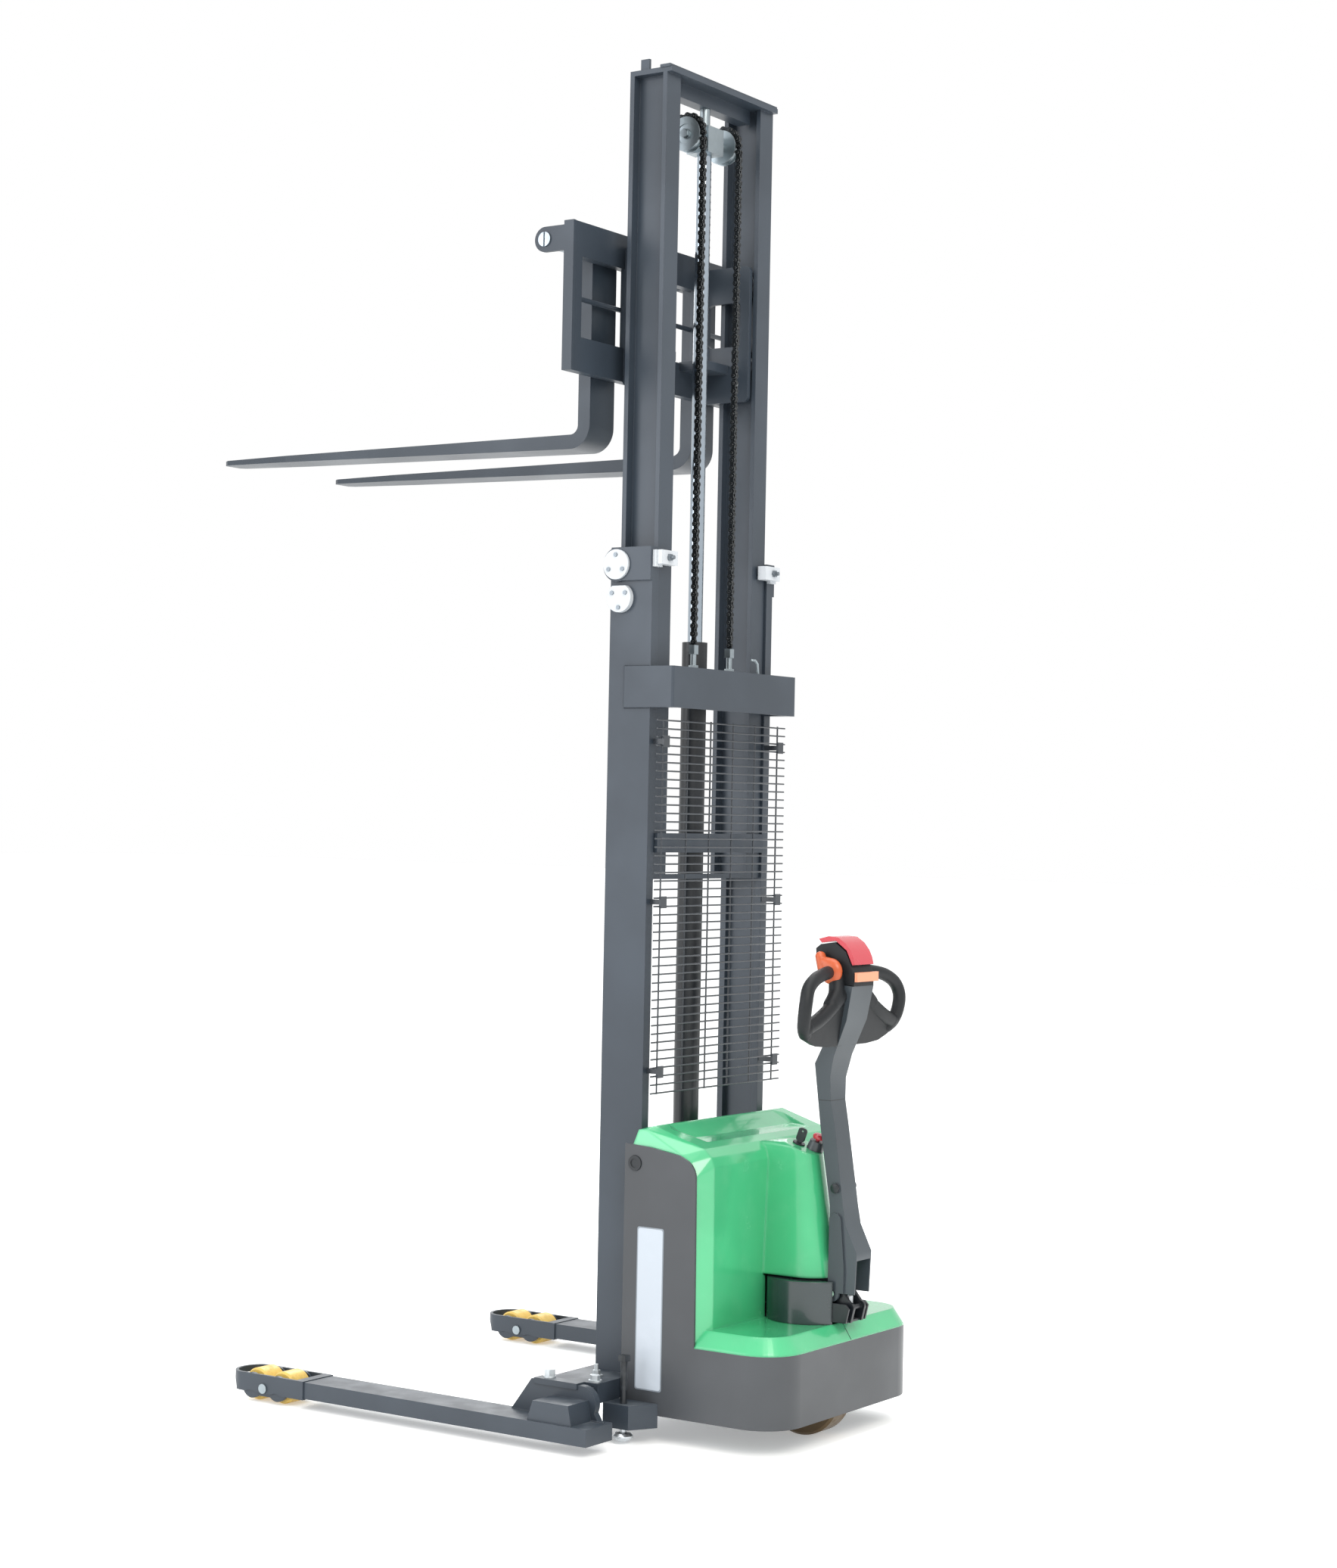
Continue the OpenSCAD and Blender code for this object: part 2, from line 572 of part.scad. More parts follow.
// Straddle legs: beam, wheel head, gusset with a top block, and the sliding bar
sleeve_front = -160;
sleeve_back = -18;
sleeve_low = 92;
sleeve_high = 46;
sleeve_wall = 9;
sleeve_half = 415;
gusset_x = leg_x - leg_wide / 2 + 2;
gusset_thick = 18;
bar_in = 150;
module leg() color("#575e65") {
  head_back = -leg_reach + leg_head;
  half = leg_wide / 2;
  translate([leg_x, 0, 0]) {
    difference() {
      span([-half, head_back - 20, leg_low], [half, leg_back, leg_top]);
      span([-half + leg_wall, head_back - 30, leg_low - 1], [half - leg_wall, leg_back - leg_wall, leg_top - leg_wall]);
      span([-half - 1, head_back - 60, leg_low - 1], [half + 1, head_back, leg_top + 1]);
    }
    // Wheel head: two cheeks joined round the nose, open above and below
    difference() {
      translate([0, 0, leg_low - 3]) linear_extrude(leg_top - leg_low + 5) difference() {
        head_plan(0, head_back + 2);
        head_plan(8, head_back - 24);
      }
      for (s = [-1, 1]) rod_x(-half - 9, half + 9, bogie_y + s * bogie_pitch / 2, -8, 36);
      rod_x(-half - 9, half + 9, -leg_reach - 6, leg_low - 6, 36);
    }
    both() rod_x(load_wheel_wide / 2 + 0.5, half + 5, bogie_y, bogie_z, pin_r);
    both() rod_x(half + 4, half + 8, bogie_y, bogie_z, 12);
  }
  // Gusset and block over the heel
  side(gusset_x, gusset_x + gusset_thick) {
    polygon([[-218, leg_top - 1], [-160, gusset_top], [shoulder_y, gusset_top], [32, leg_top - 1]]);
    translate([shoulder_y, gusset_top - shoulder_r]) circle(shoulder_r);
  }
  side(gusset_x + gusset_thick - 1, leg_x + leg_wide / 2 - 6) translate([0, leg_top - 1])
    polygon([[-114, 0], [-98, gusset_top - leg_top - 30], [2, gusset_top - leg_top - 30], [12, 0]]);
  span([gusset_x - 10, sleeve_front + sleeve_wall + 1, gusset_top - 10],
    [gusset_x + gusset_thick + 4, sleeve_back - sleeve_wall - 1, gusset_top + 4]);
  // Clamp screw through the top plate
  translate([gusset_x - 2, -122, gusset_top + 3]) {
    cylinder(h = 4, r = 14);
    cylinder(h = 20, r = 11, $fn = 6);
  }
  span([gusset_x - bar_in, sleeve_front + sleeve_wall + run_gap, sleeve_low + sleeve_wall + run_gap],
    [gusset_x + 1, sleeve_back - sleeve_wall - run_gap, sleeve_low + sleeve_high - sleeve_wall - run_gap]);
}
gusset_top = 144;
shoulder_y = -16;
shoulder_r = 40;
bogie_z = 36;
module head_plan(inset, back) {
  half = leg_wide / 2 + 4 - inset;
  nose = 46;
  translate([-half, -leg_reach + nose]) square([2 * half, back + leg_reach - nose]);
  translate([0, -leg_reach + nose]) scale([1, (nose - inset) / half]) circle(half);
}
module leg_right() placed() leg();
module leg_left() placed() mirror([1, 0, 0]) leg();
rocker_thick = 6;
module bogie(x) translate([x, 0, 0]) {
  z = load_wheel_r;
  for (s = [-1, 1]) side(s * (load_wheel_wide / 2 + 1 + rocker_thick / 2) - rocker_thick / 2,
    s * (load_wheel_wide / 2 + 1 + rocker_thick / 2) + rocker_thick / 2) difference() {
    union() {
      for (t = [-1, 1]) translate([bogie_y + t * bogie_pitch / 2, z]) circle(15);
      translate([bogie_y - bogie_pitch / 2, z - 15]) square([bogie_pitch, 30]);
    }
    translate([bogie_y, bogie_z]) circle(pin_r + shaft_fit);
  }
  for (t = [-1, 1]) rod_x(-load_wheel_wide / 2 - 1 - rocker_thick, load_wheel_wide / 2 + 1 + rocker_thick,
    bogie_y + t * bogie_pitch / 2, z, 7);
}
module bogie_left() color("#4b5157") placed() bogie(-leg_x);
module bogie_right() color("#4b5157") placed() bogie(leg_x);
module load_wheel(x, t) color("#d9bc6a") placed() translate([x, bogie_y + t * bogie_pitch / 2, load_wheel_r])
  rotate([0, 90, 0]) rotate_extrude($fn = 64) polygon([
    [7 + shaft_fit, -load_wheel_wide / 2], [load_wheel_r - 4, -load_wheel_wide / 2], [load_wheel_r, -load_wheel_wide / 2 + 5],
    [load_wheel_r, load_wheel_wide / 2 - 5], [load_wheel_r - 4, load_wheel_wide / 2], [7 + shaft_fit, load_wheel_wide / 2]]);
module wheel_front_left() load_wheel(-leg_x, -1);
module wheel_rear_left() load_wheel(-leg_x, 1);
module wheel_front_right() load_wheel(leg_x, -1);
module wheel_rear_right() load_wheel(leg_x, 1);

// Chassis frame: leg sleeve, mast feet, floor pan, drive carrier, jack brackets
jack_x = body_half + 45;
jack_y = 25;
jack_r = 8;
pan_back = 186;
cheek_x = 190;
turret_plate = 240;
neck_r = 60;
module chassis_frame() color("#4d545b") placed() {
  difference() {
    span([-sleeve_half, sleeve_front, sleeve_low], [sleeve_half, sleeve_back, sleeve_low + sleeve_high]);
    both() span([gusset_x - bar_in - 100, sleeve_front + sleeve_wall, sleeve_low + sleeve_wall],
      [sleeve_half + 1, sleeve_back - sleeve_wall, sleeve_low + sleeve_high - sleeve_wall]);
  }
  // Floor pan, cheeks beside the drive wheel and the plate that carries the turret
  span([-body_half + shell_wall, sleeve_back - 1, sleeve_low - 20], [body_half - shell_wall, pan_back, sleeve_low - 14]);
  span([-body_half + shell_wall, sleeve_back - 1, sleeve_low - 20], [body_half - shell_wall, sleeve_back + 2, sleeve_low + 20]);
  both() span([cheek_x, pan_back - 8, sleeve_low - 20], [cheek_x + 8, body_back - 60, turret_plate]);
  difference() {
    union() {
      span([-cheek_x - 8, pan_back - 8, turret_plate - 8], [cheek_x + 8, body_back - 60, turret_plate]);
      translate([0, steer_y, turret_plate]) cylinder(h = 8, r = neck_r + 20);
    }
    translate([0, steer_y, 0]) cylinder(h = 400, r = neck_r + shaft_fit);
  }
  // Jack bracket boxes, open below, with a slanted rear side
  both() difference() {
    translate([0, 0, bracket_low]) linear_extrude(sleeve_low - bracket_low) bracket_plan(0);
    translate([0, 0, bracket_low - 1]) linear_extrude(sleeve_low - bracket_low - 9) bracket_plan(8);
    translate([jack_x, jack_y, 0]) cylinder(h = 120, r = jack_r + shaft_fit);
  }
}
bracket_low = 36;
module bracket_plan(i) polygon([[body_half + i, sleeve_back - 1 + i], [jack_x + 20 - i, sleeve_back - 1 + i],
  [jack_x + 20 - i, jack_y + 28 - i / 2], [body_half + i, jack_y + 66 - 2 * i]]);

// Body shell: the two side panels and the skirt as one folded plate
module skirt_plan(inset) {
  w = body_half - inset;
  r = body_corner - inset;
  translate([-w, body_front]) square([2 * w, body_back - body_corner - body_front]);
  translate([-w + r, body_front]) square([2 * (w - r), body_back - inset - body_front]);
  for (s = [-1, 1]) translate([s * (w - r), body_back - body_corner]) circle(r);
}
module body_shell() color("#4a5056") placed() difference() {
  translate([0, 0, body_low]) linear_extrude(panel_top) difference() {
    skirt_plan(0);
    skirt_plan(shell_wall);
    translate([-body_half + shell_wall, body_front - 1]) square([2 * (body_half - shell_wall), shell_wall + 1]);
  }
  // Everything above the side outline is cut away
  side(-body_half - 1, body_half + 1) difference() {
    translate([body_front - 5, 0]) square([600, 900]);
    polygon(concat([[body_front - 6, -1], [body_front - 6, panel_top], [56, panel_top - 5], [139, panel_top - 18]],
      [for (a = [70 : -14 : 0]) [panel_back - 48 + 46 * cos(a), panel_top - 68 + 46 * sin(a)]],
      [[panel_back + 2, skirt_top], [600, skirt_top], [600, -1]]));
  }
  both() rod_x(body_half - 20, body_half + 1, 14, panel_top - 45, 18);
}

// Jack screws with domed feet beside the mast
jack_foot = 4;
module jack(x) color("#33383d") placed() translate([x, jack_y, 0]) {
  translate([0, 0, jack_foot + 14]) cylinder(h = 176, r = jack_r);
  translate([-10, -10, 190]) cube([20, 20, 14]);
  // Domed foot
  translate([0, 0, jack_foot]) rotate_extrude() polygon([[0, 0], [10, 1], [19, 5], [24, 11],
    [24, 15], [18, 21], [jack_r, 22], [0, 22]]);
}
module jack_left() jack(-jack_x);
module jack_right() jack(jack_x);
module clamp_bolts() color("silver") placed() both() {
  translate([sleeve_half - 75, -76, sleeve_low + sleeve_high]) {
    cylinder(h = 3, r = 15);
    cylinder(h = 14, r = 10, $fn = 6);
    cylinder(h = 28, r = 5);
  }
  translate([sleeve_half - 17, sleeve_back - 20, sleeve_low + sleeve_high]) {
    cylinder(h = 5, r = 16);
    cylinder(h = 16, r = 12, $fn = 6);
  }
}

// Power pack under the hood
pack_half = body_half - 27;
module battery() color("#22262a") placed() {
  z0 = sleeve_low - 14;
  for (i = [0, 1]) {
    span([-pack_half, 40, z0 + i * 222], [-10, pan_back - 10, z0 + 214 + i * 222]);
    span([-pack_half + 10, 50, z0 + 214 + i * 222 - eps], [-20, pan_back - 20, z0 + 222 + i * 222]);
  }
}
pack_x = pack_half - 180;
module pump_motor() color("#3a3f44") placed() translate([pack_x, 115, sleeve_low - 14]) {
  cylinder(h = 190, r = 56);
  translate([-50, -50, 190 - eps]) cube([100, 100, 50]);
}
module oil_tank() color("#2b2f33") placed() translate([pack_x - 70, 45, sleeve_low - 14 + 240])
  linear_extrude(170) round_box([0, 0], [240, 140], 18);
module controller() color("#6d747a") placed() translate([pack_x - 60, 60, sleeve_low - 14 + 410]) {
  cube([190, 100, 18]);
  for (i = [0 : 8]) translate([4 + i * 21, 0, 18 - eps]) cube([10, 100, 40]);
}

// Hood: a moulded shell with a deck, a chamfered upper body and the motor tower
hood_front = 32;
hood_toe = 3;
hood_core = 285;
hood_side = body_half - shell_wall - run_gap;
tower_low = ring_top + 4;
tower_r = 69;
tower_top_r = 46;
tower_top_y = steer_y - 22;
tower_top_z = 676;
tower_tilt = 20;
trough_half = 228;
module hood_upper(i, drop) hull() {
  side(-hood_core + i, hood_core - i) polygon([[hood_front + i, skirt_top - 3 * i],
    [hood_front - 6 + i, hood_top - 4 - i - drop], [hood_front + 6 + i, hood_top - i - drop],
    [150, hood_top - 34 - i - drop], [hood_back - 28 - i, hood_top - 44 - i - drop],
    [hood_back - 8 - i, hood_top - 62 - i - drop], [hood_back - i, hood_top - 84 - i],
    [hood_back + 5 - i, skirt_top - 3 * i]]);
  // The rim's ends
  side(-hood_core - 28 + i, hood_core + 28 - i) polygon([[hood_toe + 6 + i, panel_top - i],
    [hood_toe + 10 + i, hood_top - 9 - i - drop], [hood_front + i, hood_top - 7 - i - drop], [hood_front + 20, panel_top - i]]);
  side(-hood_side + i, hood_side - i) polygon([[hood_toe + i, skirt_top - 3 * i], [hood_toe + i, panel_top - 4 - i],
    [56, panel_top - 4 - i], [139, panel_top - 17 - i], [panel_back - 20 - i, panel_top - 34 - i],
    [panel_back - 3 - i, panel_top - 64 - i], [panel_back - i, skirt_top - 3 * i]]);
}
module hood_deck(i) hull() {
  translate([0, 0, skirt_top - (i > 0 ? 12 : 0)]) linear_extrude(1) deck_plan(i);
  translate([0, 0, deck_top - 1 - i]) linear_extrude(1) deck_plan(26 + i);
}
module deck_plan(inset) {
  w = body_half - inset;
  r = body_corner - inset;
  translate([-w, panel_back + 2.5]) square([2 * w, body_back - body_corner - panel_back - 2.5]);
  translate([-w + r, panel_back + 2.5]) square([2 * (w - r), body_back - inset - panel_back - 2.5]);
  for (s = [-1, 1]) translate([s * (w - r), body_back - body_corner]) circle(r);
}
module hood_tower(i) hull() {
  translate([0, steer_y, tower_low - i]) cylinder(h = 1, r = tower_r - i);
  span([-tower_r + i, hood_back - 20, tower_low - i], [tower_r - i, steer_y - 30, tower_low - i + 1]);
  translate([0, tower_top_y, tower_top_z - 1.2 * i]) rotate([-tower_tilt, 0, 0]) cylinder(h = 1, r = tower_top_r - i);
  span([-tower_top_r + i, hood_back - 30, tower_top_z + 8 - 1.2 * i], [tower_top_r - i, hood_back - 6, tower_top_z + 9 - 1.2 * i]);
}
slot_y = steer_y - 36;
slot_z = tower_top_z + 4;
stop_x = -14;
stop_y = steer_y - 2;
module tower_frame(x, y) translate([x, y, tower_top_z - (y - tower_top_y) * tan(tower_tilt) + 1]) rotate([-tower_tilt, 0, 0]) children();
module hood() color("#4ccb84") placed() difference() {
  union() {
    hood_upper(0, 0);
    hood_deck(0);
    hood_tower(0);
  }
  hood_upper(hood_wall, 22);
  hood_deck(hood_wall);
  hood_tower(hood_wall);
  // Dished trough behind the rim
  hull() {
    side(-trough_half, trough_half) polygon([[hood_front + 13, hood_top - 3], [100, hood_top - 30],
      [150, hood_top - 34.5], [150, hood_top], [hood_front + 13, hood_top]]);
    side(-trough_half - 36, trough_half + 36) polygon([[hood_front + 8, hood_top + 6], [hood_back, hood_top + 6],
      [hood_back, hood_top + 30], [hood_front + 8, hood_top + 30]]);
  }
  // Room for the ring cover and the turret
  translate([0, steer_y, deck_top]) cylinder(h = tower_low - deck_top, r = ring_r + 3, $fn = 72);
  translate([0, steer_y, skirt_top]) cylinder(h = 100, r = neck_r + 10);
  tower_frame(4, slot_y) translate([0, 0, -20]) cylinder(h = 40, r = key_r + 5 + shaft_fit);
  tower_frame(stop_x, stop_y) translate([0, 0, -20]) cylinder(h = 40, r = 10);
}
key_r = 6;
module key_switch() color("#22262a") placed() tower_frame(4, slot_y) difference() {
  union() {
    translate([0, 0, -30]) cylinder(h = 30.5, r = key_r + 5);
    translate([0, 0, 0.3]) cylinder(h = 3, r = 15);
  }
  translate([0, 0, -20]) cylinder(h = 40, r = key_r + shaft_fit);
}
module key() color("#1d2023") placed() tower_frame(4, slot_y) {
  translate([0, 0, -18]) cylinder(h = 24, r = key_r);
  translate([0, 0, 6 - eps]) side(-3, 3) difference() {
    round_box([-11, 0], [11, 34], 8);
    translate([0, 26]) circle(3);
  }
}
stop_r = 5;
stop_rise = 22;
module stop_bezel() color("#6d747a") placed() tower_frame(stop_x, stop_y) difference() {
  union() {
    translate([0, 0, 0.3]) cylinder(h = stop_rise, r1 = 21, r2 = 18);
    translate([0, 0, -16]) cylinder(h = 16.4, r = 10 - shaft_fit);
  }
  translate([0, 0, -17]) cylinder(h = 60, r = stop_r + shaft_fit);
}
module stop_button() color("#d02a24") placed() tower_frame(stop_x, stop_y) {
  translate([0, 0, -10]) cylinder(h = stop_rise + 16, r = stop_r);
  translate([0, 0, stop_rise + 6 - eps]) rotate_extrude() polygon([[0, 0], [14, 0], [15, 3], [15, 7], [11, 11], [0, 12]]);
}

// Drive unit: turret neck, motor, gear case beside the wheel, wheel axle
axle_r = 16;
module drive_unit() color("#3b4147") placed() translate([0, steer_y, 0]) {
  cylinder_z0 = 2 * drive_wheel_r + 6;
  wheel_side = drive_wheel_wide / 2 + 3;
  translate([0, 0, cylinder_z0]) cylinder(h = turret_plate + 8.3 - cylinder_z0, r = neck_r);
  translate([0, 0, turret_plate + 8.3]) cylinder(h = 10, r = neck_r + 5);
  translate([0, 0, turret_plate + 18]) cylinder(h = motor_top - turret_plate - 18, r = motor_r);
  span([-wheel_side - 12, -50, cylinder_z0], [wheel_side + 40, 50, cylinder_z0 + 14]);
  span([wheel_side, -44, 60], [wheel_side + 40, 44, cylinder_z0 + 1]);
  rod_x(wheel_side, wheel_side + 40, 0, drive_wheel_r, 58);
  side(-wheel_side - 12, -wheel_side) difference() {
    union() {
      translate([-30, drive_wheel_r]) square([60, cylinder_z0 - drive_wheel_r + 1]);
      translate([0, drive_wheel_r]) circle(30);
    }
  }
  rod_x(-wheel_side - 1, wheel_side + 1, 0, drive_wheel_r, axle_r);
}
motor_r = 46;
motor_top = 460;
module drive_wheel() color("#b08a4a") placed() translate([0, steer_y, drive_wheel_r]) rotate([0, 90, 0])
  rotate_extrude($fn = 72) polygon([
    [axle_r + shaft_fit, -drive_wheel_wide / 2], [drive_wheel_r - 6, -drive_wheel_wide / 2], [drive_wheel_r, -drive_wheel_wide / 2 + 6],
    [drive_wheel_r, drive_wheel_wide / 2 - 6], [drive_wheel_r - 6, drive_wheel_wide / 2], [axle_r + shaft_fit, drive_wheel_wide / 2]]);
notch_half = arm_half + 13;
module ring_cover() color("#20262a") placed() translate([0, steer_y, 0]) difference() {
  translate([0, 0, deck_top + run_gap]) cylinder(h = ring_top - deck_top - run_gap, r = ring_r, $fn = 72);
  translate([0, 0, deck_top]) cylinder(h = ring_top - deck_top - 5, r = ring_r - 5, $fn = 72);
  translate([0, 0, deck_top]) cylinder(h = 200, r = motor_r + shaft_fit);
  span([-notch_half, motor_r + 4, deck_top - 1], [notch_half, 200, ring_top + 1]);
}
ear_half = 29.5;
low_pin_y = 425;
low_pin_z = 312;
module tiller_bracket() color("#2c3236") placed() {
  both() side(ear_half - 9, ear_half) difference() {
    union() {
      translate([tiller_y, tiller_z]) circle(21);
      translate([low_pin_y, low_pin_z]) circle(13);
      polygon([[steer_y + motor_r + 6, deck_top + 6], [low_pin_y + 5, deck_top + 6], [low_pin_y + 13, low_pin_z],
        [tiller_y + 18, tiller_z + 11], [tiller_y - 18, tiller_z + 11], [steer_y + motor_r + 6, tiller_z - 4]]);
    }
  }
  span([-ear_half, steer_y + motor_r + 0.1, deck_top + 6], [ear_half, steer_y + motor_r + 12, tiller_z - 4]);
  // Guard plates beside the foot of the arm, on a base plate
  both() side(arm_half + 6.5, arm_half + 12) polygon([[steer_y + motor_r + 6, deck_top + 6],
    [low_pin_y + 2, deck_top + 6], [low_pin_y + 10, low_pin_z], [low_pin_y, tiller_z - 22],
    [steer_y + motor_r + 6, tiller_z - 22]]);
  span([-arm_half - 12, steer_y + motor_r + 6, deck_top + 6], [arm_half + 12, low_pin_y, deck_top + 11]);
  rod_x(-arm_half - 10, arm_half + 10, tiller_y, tiller_z, tiller_pin_r);
  rod_x(-ear_half, ear_half, low_pin_y, low_pin_z, 6);
}

// Tiller arm: a hollow column whose foot straddles the bracket
module arm_side() polygon([[372, arm_foot], [442, arm_foot], [arm_belly, 442], [416, 503],
  [407, 549], [394, 643], [379, 737], [368, 793], [367, 850], [384, 900], [428, 985],
  [450, stem_top], [418, stem_top + 2], [380, 960], [350, 912], [330, 880], [336, 793],
  [339, 737], [356, 643], [371, 549], [373, 503]]);
// Half outline of the arm from the front, grown by g
arm_widths = [[arm_half, 340], [arm_half, 560], [34, 643], [32, 737], [34, 793], [38, 880], [36, 920], [31, 1070]];
module arm_front(g) polygon(concat([for (p = arm_widths) [p[0] + g, p[1]]],
  [for (i = [len(arm_widths) - 1 : -1 : 0]) [-arm_widths[i][0] - g, arm_widths[i][1]]]));
arm_foot = 345;
slot_top = 424;
stem_top = 1066;
module tiller_arm() color("#586068") placed() difference() {
  union() {
    intersection() {
      side(-60, 60) arm_side();
      front(300, 500) arm_front(0);
    }
    both() side(arm_half - 1, arm_half + 6) union() {
      translate([tiller_y, tiller_z]) circle(20);
      polygon([[tiller_y - 10, tiller_z], [tiller_y + 32, tiller_z + 2], [tiller_y + 33, 400],
        [tiller_y + 22, 520], [tiller_y - 9, 520], [tiller_y - 10, 376]]);
      translate([tiller_y + 6.5, 516]) circle(15.5);
    }
    both() rod_x(20, arm_half + 5, 387, 590, 11);
  }
  span([-arm_half + arm_wall, 330, arm_foot - 30], [arm_half - arm_wall, 500, slot_top]);
  side(-arm_half + arm_wall, arm_half - arm_wall) polygon([[382, slot_top - 1], [436, slot_top - 1], [408, 500], [384, 500]]);
  rod_x(-60, 60, tiller_y, tiller_z, tiller_pin_r + shaft_fit);
}

// Handle: two loops in one plate, leaning back with the stem
lean = 16.7;
handle_y = 372;
handle_z = 916;
// Corner cutting: each round doubles the points and rounds the outline
function round_off(p, n) = n == 0 ? p : round_off([for (i = [0 : len(p) - 1])
  let (a = p[i], b = p[(i + 1) % len(p)]) each [a * 0.75 + b * 0.25, a * 0.25 + b * 0.75]], n - 1);
handle_half = [[0, 0], [80, 0], [144, 12], [190, 42], [222, 86], [234, 130], [220, 178], [180, 200], [110, 200], [0, 192]];
handle_gap = [[92, 168], [142, 174], [184, 166], [202, 130], [190, 88], [142, 50], [96, 128]];
module handle_outline() {
  polygon(round_off(concat(handle_half, [for (i = [len(handle_half) - 2 : -1 : 1])
    [-handle_half[i][0], handle_half[i][1]]]), 2));
}
module handle_hole() polygon(round_off(handle_gap, 2));
module handle() color("#3a3f44") placed() difference() {
  translate([0, handle_y, handle_z]) rotate([90 - lean, 0, 0]) {
    translate([0, 0, -grip_thick / 2]) linear_extrude(grip_thick) difference() {
      handle_outline();
      handle_hole();
      mirror([1, 0, 0]) handle_hole();
    }
  }
  // Seats round the stem and beside the head
  intersection() {
    side(-60, 60) {
      translate([-seat_gap, 0]) arm_side();
      translate([seat_gap, 0]) arm_side();
    }
    front(300, 500) arm_front(seat_gap);
  }
  span([-head_half - seat_gap, 300, stem_top], [head_half + seat_gap, 600, 1300]);
}
seat_gap = 0.3;
head_half = 29;
button_r = 4;
button_travel = 3;
press_y = 0.6;
press_z = 0.8;
// A button's stem line, tilted to its press direction, at x, y, z
module stem_line(x, y, z) translate([x, y, z]) rotate([-atan2(press_y, press_z), 0, 0]) children();
module head_cover() color("#33383c") placed() difference() {
  side(-head_half, head_half) polygon([[392, stem_top + 12], [362, 1086], [349, 1120], [347, 1152],
    [360, 1162], [398, 1168], [428, 1146], [444, 1112], [452, 1092], [452, stem_top + 0.2],
    [418, stem_top + 2 + seat_gap]]);
  for (x = [-12, 12]) {
    stem_line(x, 412, 1158) translate([0, 0, -18]) cylinder(h = 40, r = button_r + shaft_fit);
    translate([x, 440, 1083]) rotate([-90, 0, 0]) cylinder(h = 20, r = button_r + shaft_fit);
  }
}
throttle_y = 368;
throttle_z = 1112;
module throttle() color("#e0703a") placed() both() {
  rod_x(head_half + seat_gap, 46, throttle_y, throttle_z, 13);
  side(38, 66) hull() {
    translate([throttle_y, throttle_z]) circle(18);
    translate([throttle_y - 30, throttle_z + 24]) circle(13);
    translate([throttle_y + 14, throttle_z - 30]) circle(12);
  }
}
module reverse_button() color("#f0606a") placed() {
  rise_y = press_y * (button_travel + run_gap);
  rise_z = press_z * (button_travel + run_gap) + 0.6;
  side(-head_half + 1, head_half - 1) translate([rise_y, rise_z])
    polygon([[360, 1162], [398, 1168], [428, 1146], [444, 1112], [450, 1113], [446, 1129], [438, 1146],
      [424, 1163], [404, 1176], [378, 1178], [352, 1171]]);
  for (x = [-12, 12]) stem_line(x, 412, 1158) translate([0, 0, -12]) cylinder(h = 18, r = button_r);
}
module horn_button() color("#e0703a") placed() {
  span([-head_half + 2, tiller_reach - 7, 1072], [head_half - 2, tiller_reach, 1094]);
  for (x = [-12, 12]) translate([x, 445, 1083]) rotate([-90, 0, 0]) cylinder(h = tiller_reach - 450, r = button_r);
}

chassis_frame();
body_shell();
hood();
outer_mast();
rear_crossbeam();
mesh_guard();
guard_clips();
roller_covers();
wear_pads();
mast_bolts();
cylinder_barrel();
cylinder_gland();
chain_anchors();
battery();
oil_tank();
pump_motor();
controller();
clamp_bolts();
key_switch();
stop_bezel();
key();
stop_button();
jack_left();
jack_right();
top_rollers();
inner_mast();
lift_rod();
crosshead();
chain_wraps();
chain_pulleys();
bottom_rollers();
rear_chains();
front_chains();
carriage_frame();
upper_rollers();
lower_rollers();
fork_shaft();
fork_left();
fork_right();
leg_left();
leg_right();
bogie_left();
bogie_right();
wheel_front_left();
wheel_rear_left();
wheel_front_right();
wheel_rear_right();
drive_unit();
ring_cover();
tiller_bracket();
drive_wheel();
tiller_arm();
handle();
head_cover();
throttle();
reverse_button();
horn_button();
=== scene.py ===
"""Looks of a pedestrian electric straddle stacker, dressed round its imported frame.

Lengths of the pieces are written in millimetres from the mast datum, as in the
part's source, and at() turns them into the frame's metres. A turned profile is
a row of (radius, along) in millimetres. Lengths in the materials and in the
user's properties are in metres.
"""

import math

import bmesh
import bpy
from mathutils import Matrix, Vector


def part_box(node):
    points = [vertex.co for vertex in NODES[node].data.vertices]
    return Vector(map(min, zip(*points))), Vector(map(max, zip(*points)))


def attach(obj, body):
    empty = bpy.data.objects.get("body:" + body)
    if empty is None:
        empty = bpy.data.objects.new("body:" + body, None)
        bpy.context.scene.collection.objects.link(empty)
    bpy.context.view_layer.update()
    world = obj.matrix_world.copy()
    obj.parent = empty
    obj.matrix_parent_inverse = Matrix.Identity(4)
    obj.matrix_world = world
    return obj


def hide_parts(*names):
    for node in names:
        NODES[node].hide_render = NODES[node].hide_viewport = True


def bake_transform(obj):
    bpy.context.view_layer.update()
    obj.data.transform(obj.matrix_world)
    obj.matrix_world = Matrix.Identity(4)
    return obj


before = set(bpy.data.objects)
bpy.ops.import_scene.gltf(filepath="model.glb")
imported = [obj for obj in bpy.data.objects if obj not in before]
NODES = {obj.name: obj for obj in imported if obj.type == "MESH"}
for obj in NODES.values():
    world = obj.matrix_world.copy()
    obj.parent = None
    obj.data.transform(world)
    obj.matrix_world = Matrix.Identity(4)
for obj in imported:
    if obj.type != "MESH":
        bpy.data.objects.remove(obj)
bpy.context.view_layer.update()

bl_info = {
    "name": "Electric Stacker Looks",
    "version": (1, 0, 0),
    "blender": (4, 5, 0),
    "location": "3D View > Sidebar > Stacker",
    "description": "Paints and details the frame of an electric stacker",
    "category": "Object",
}

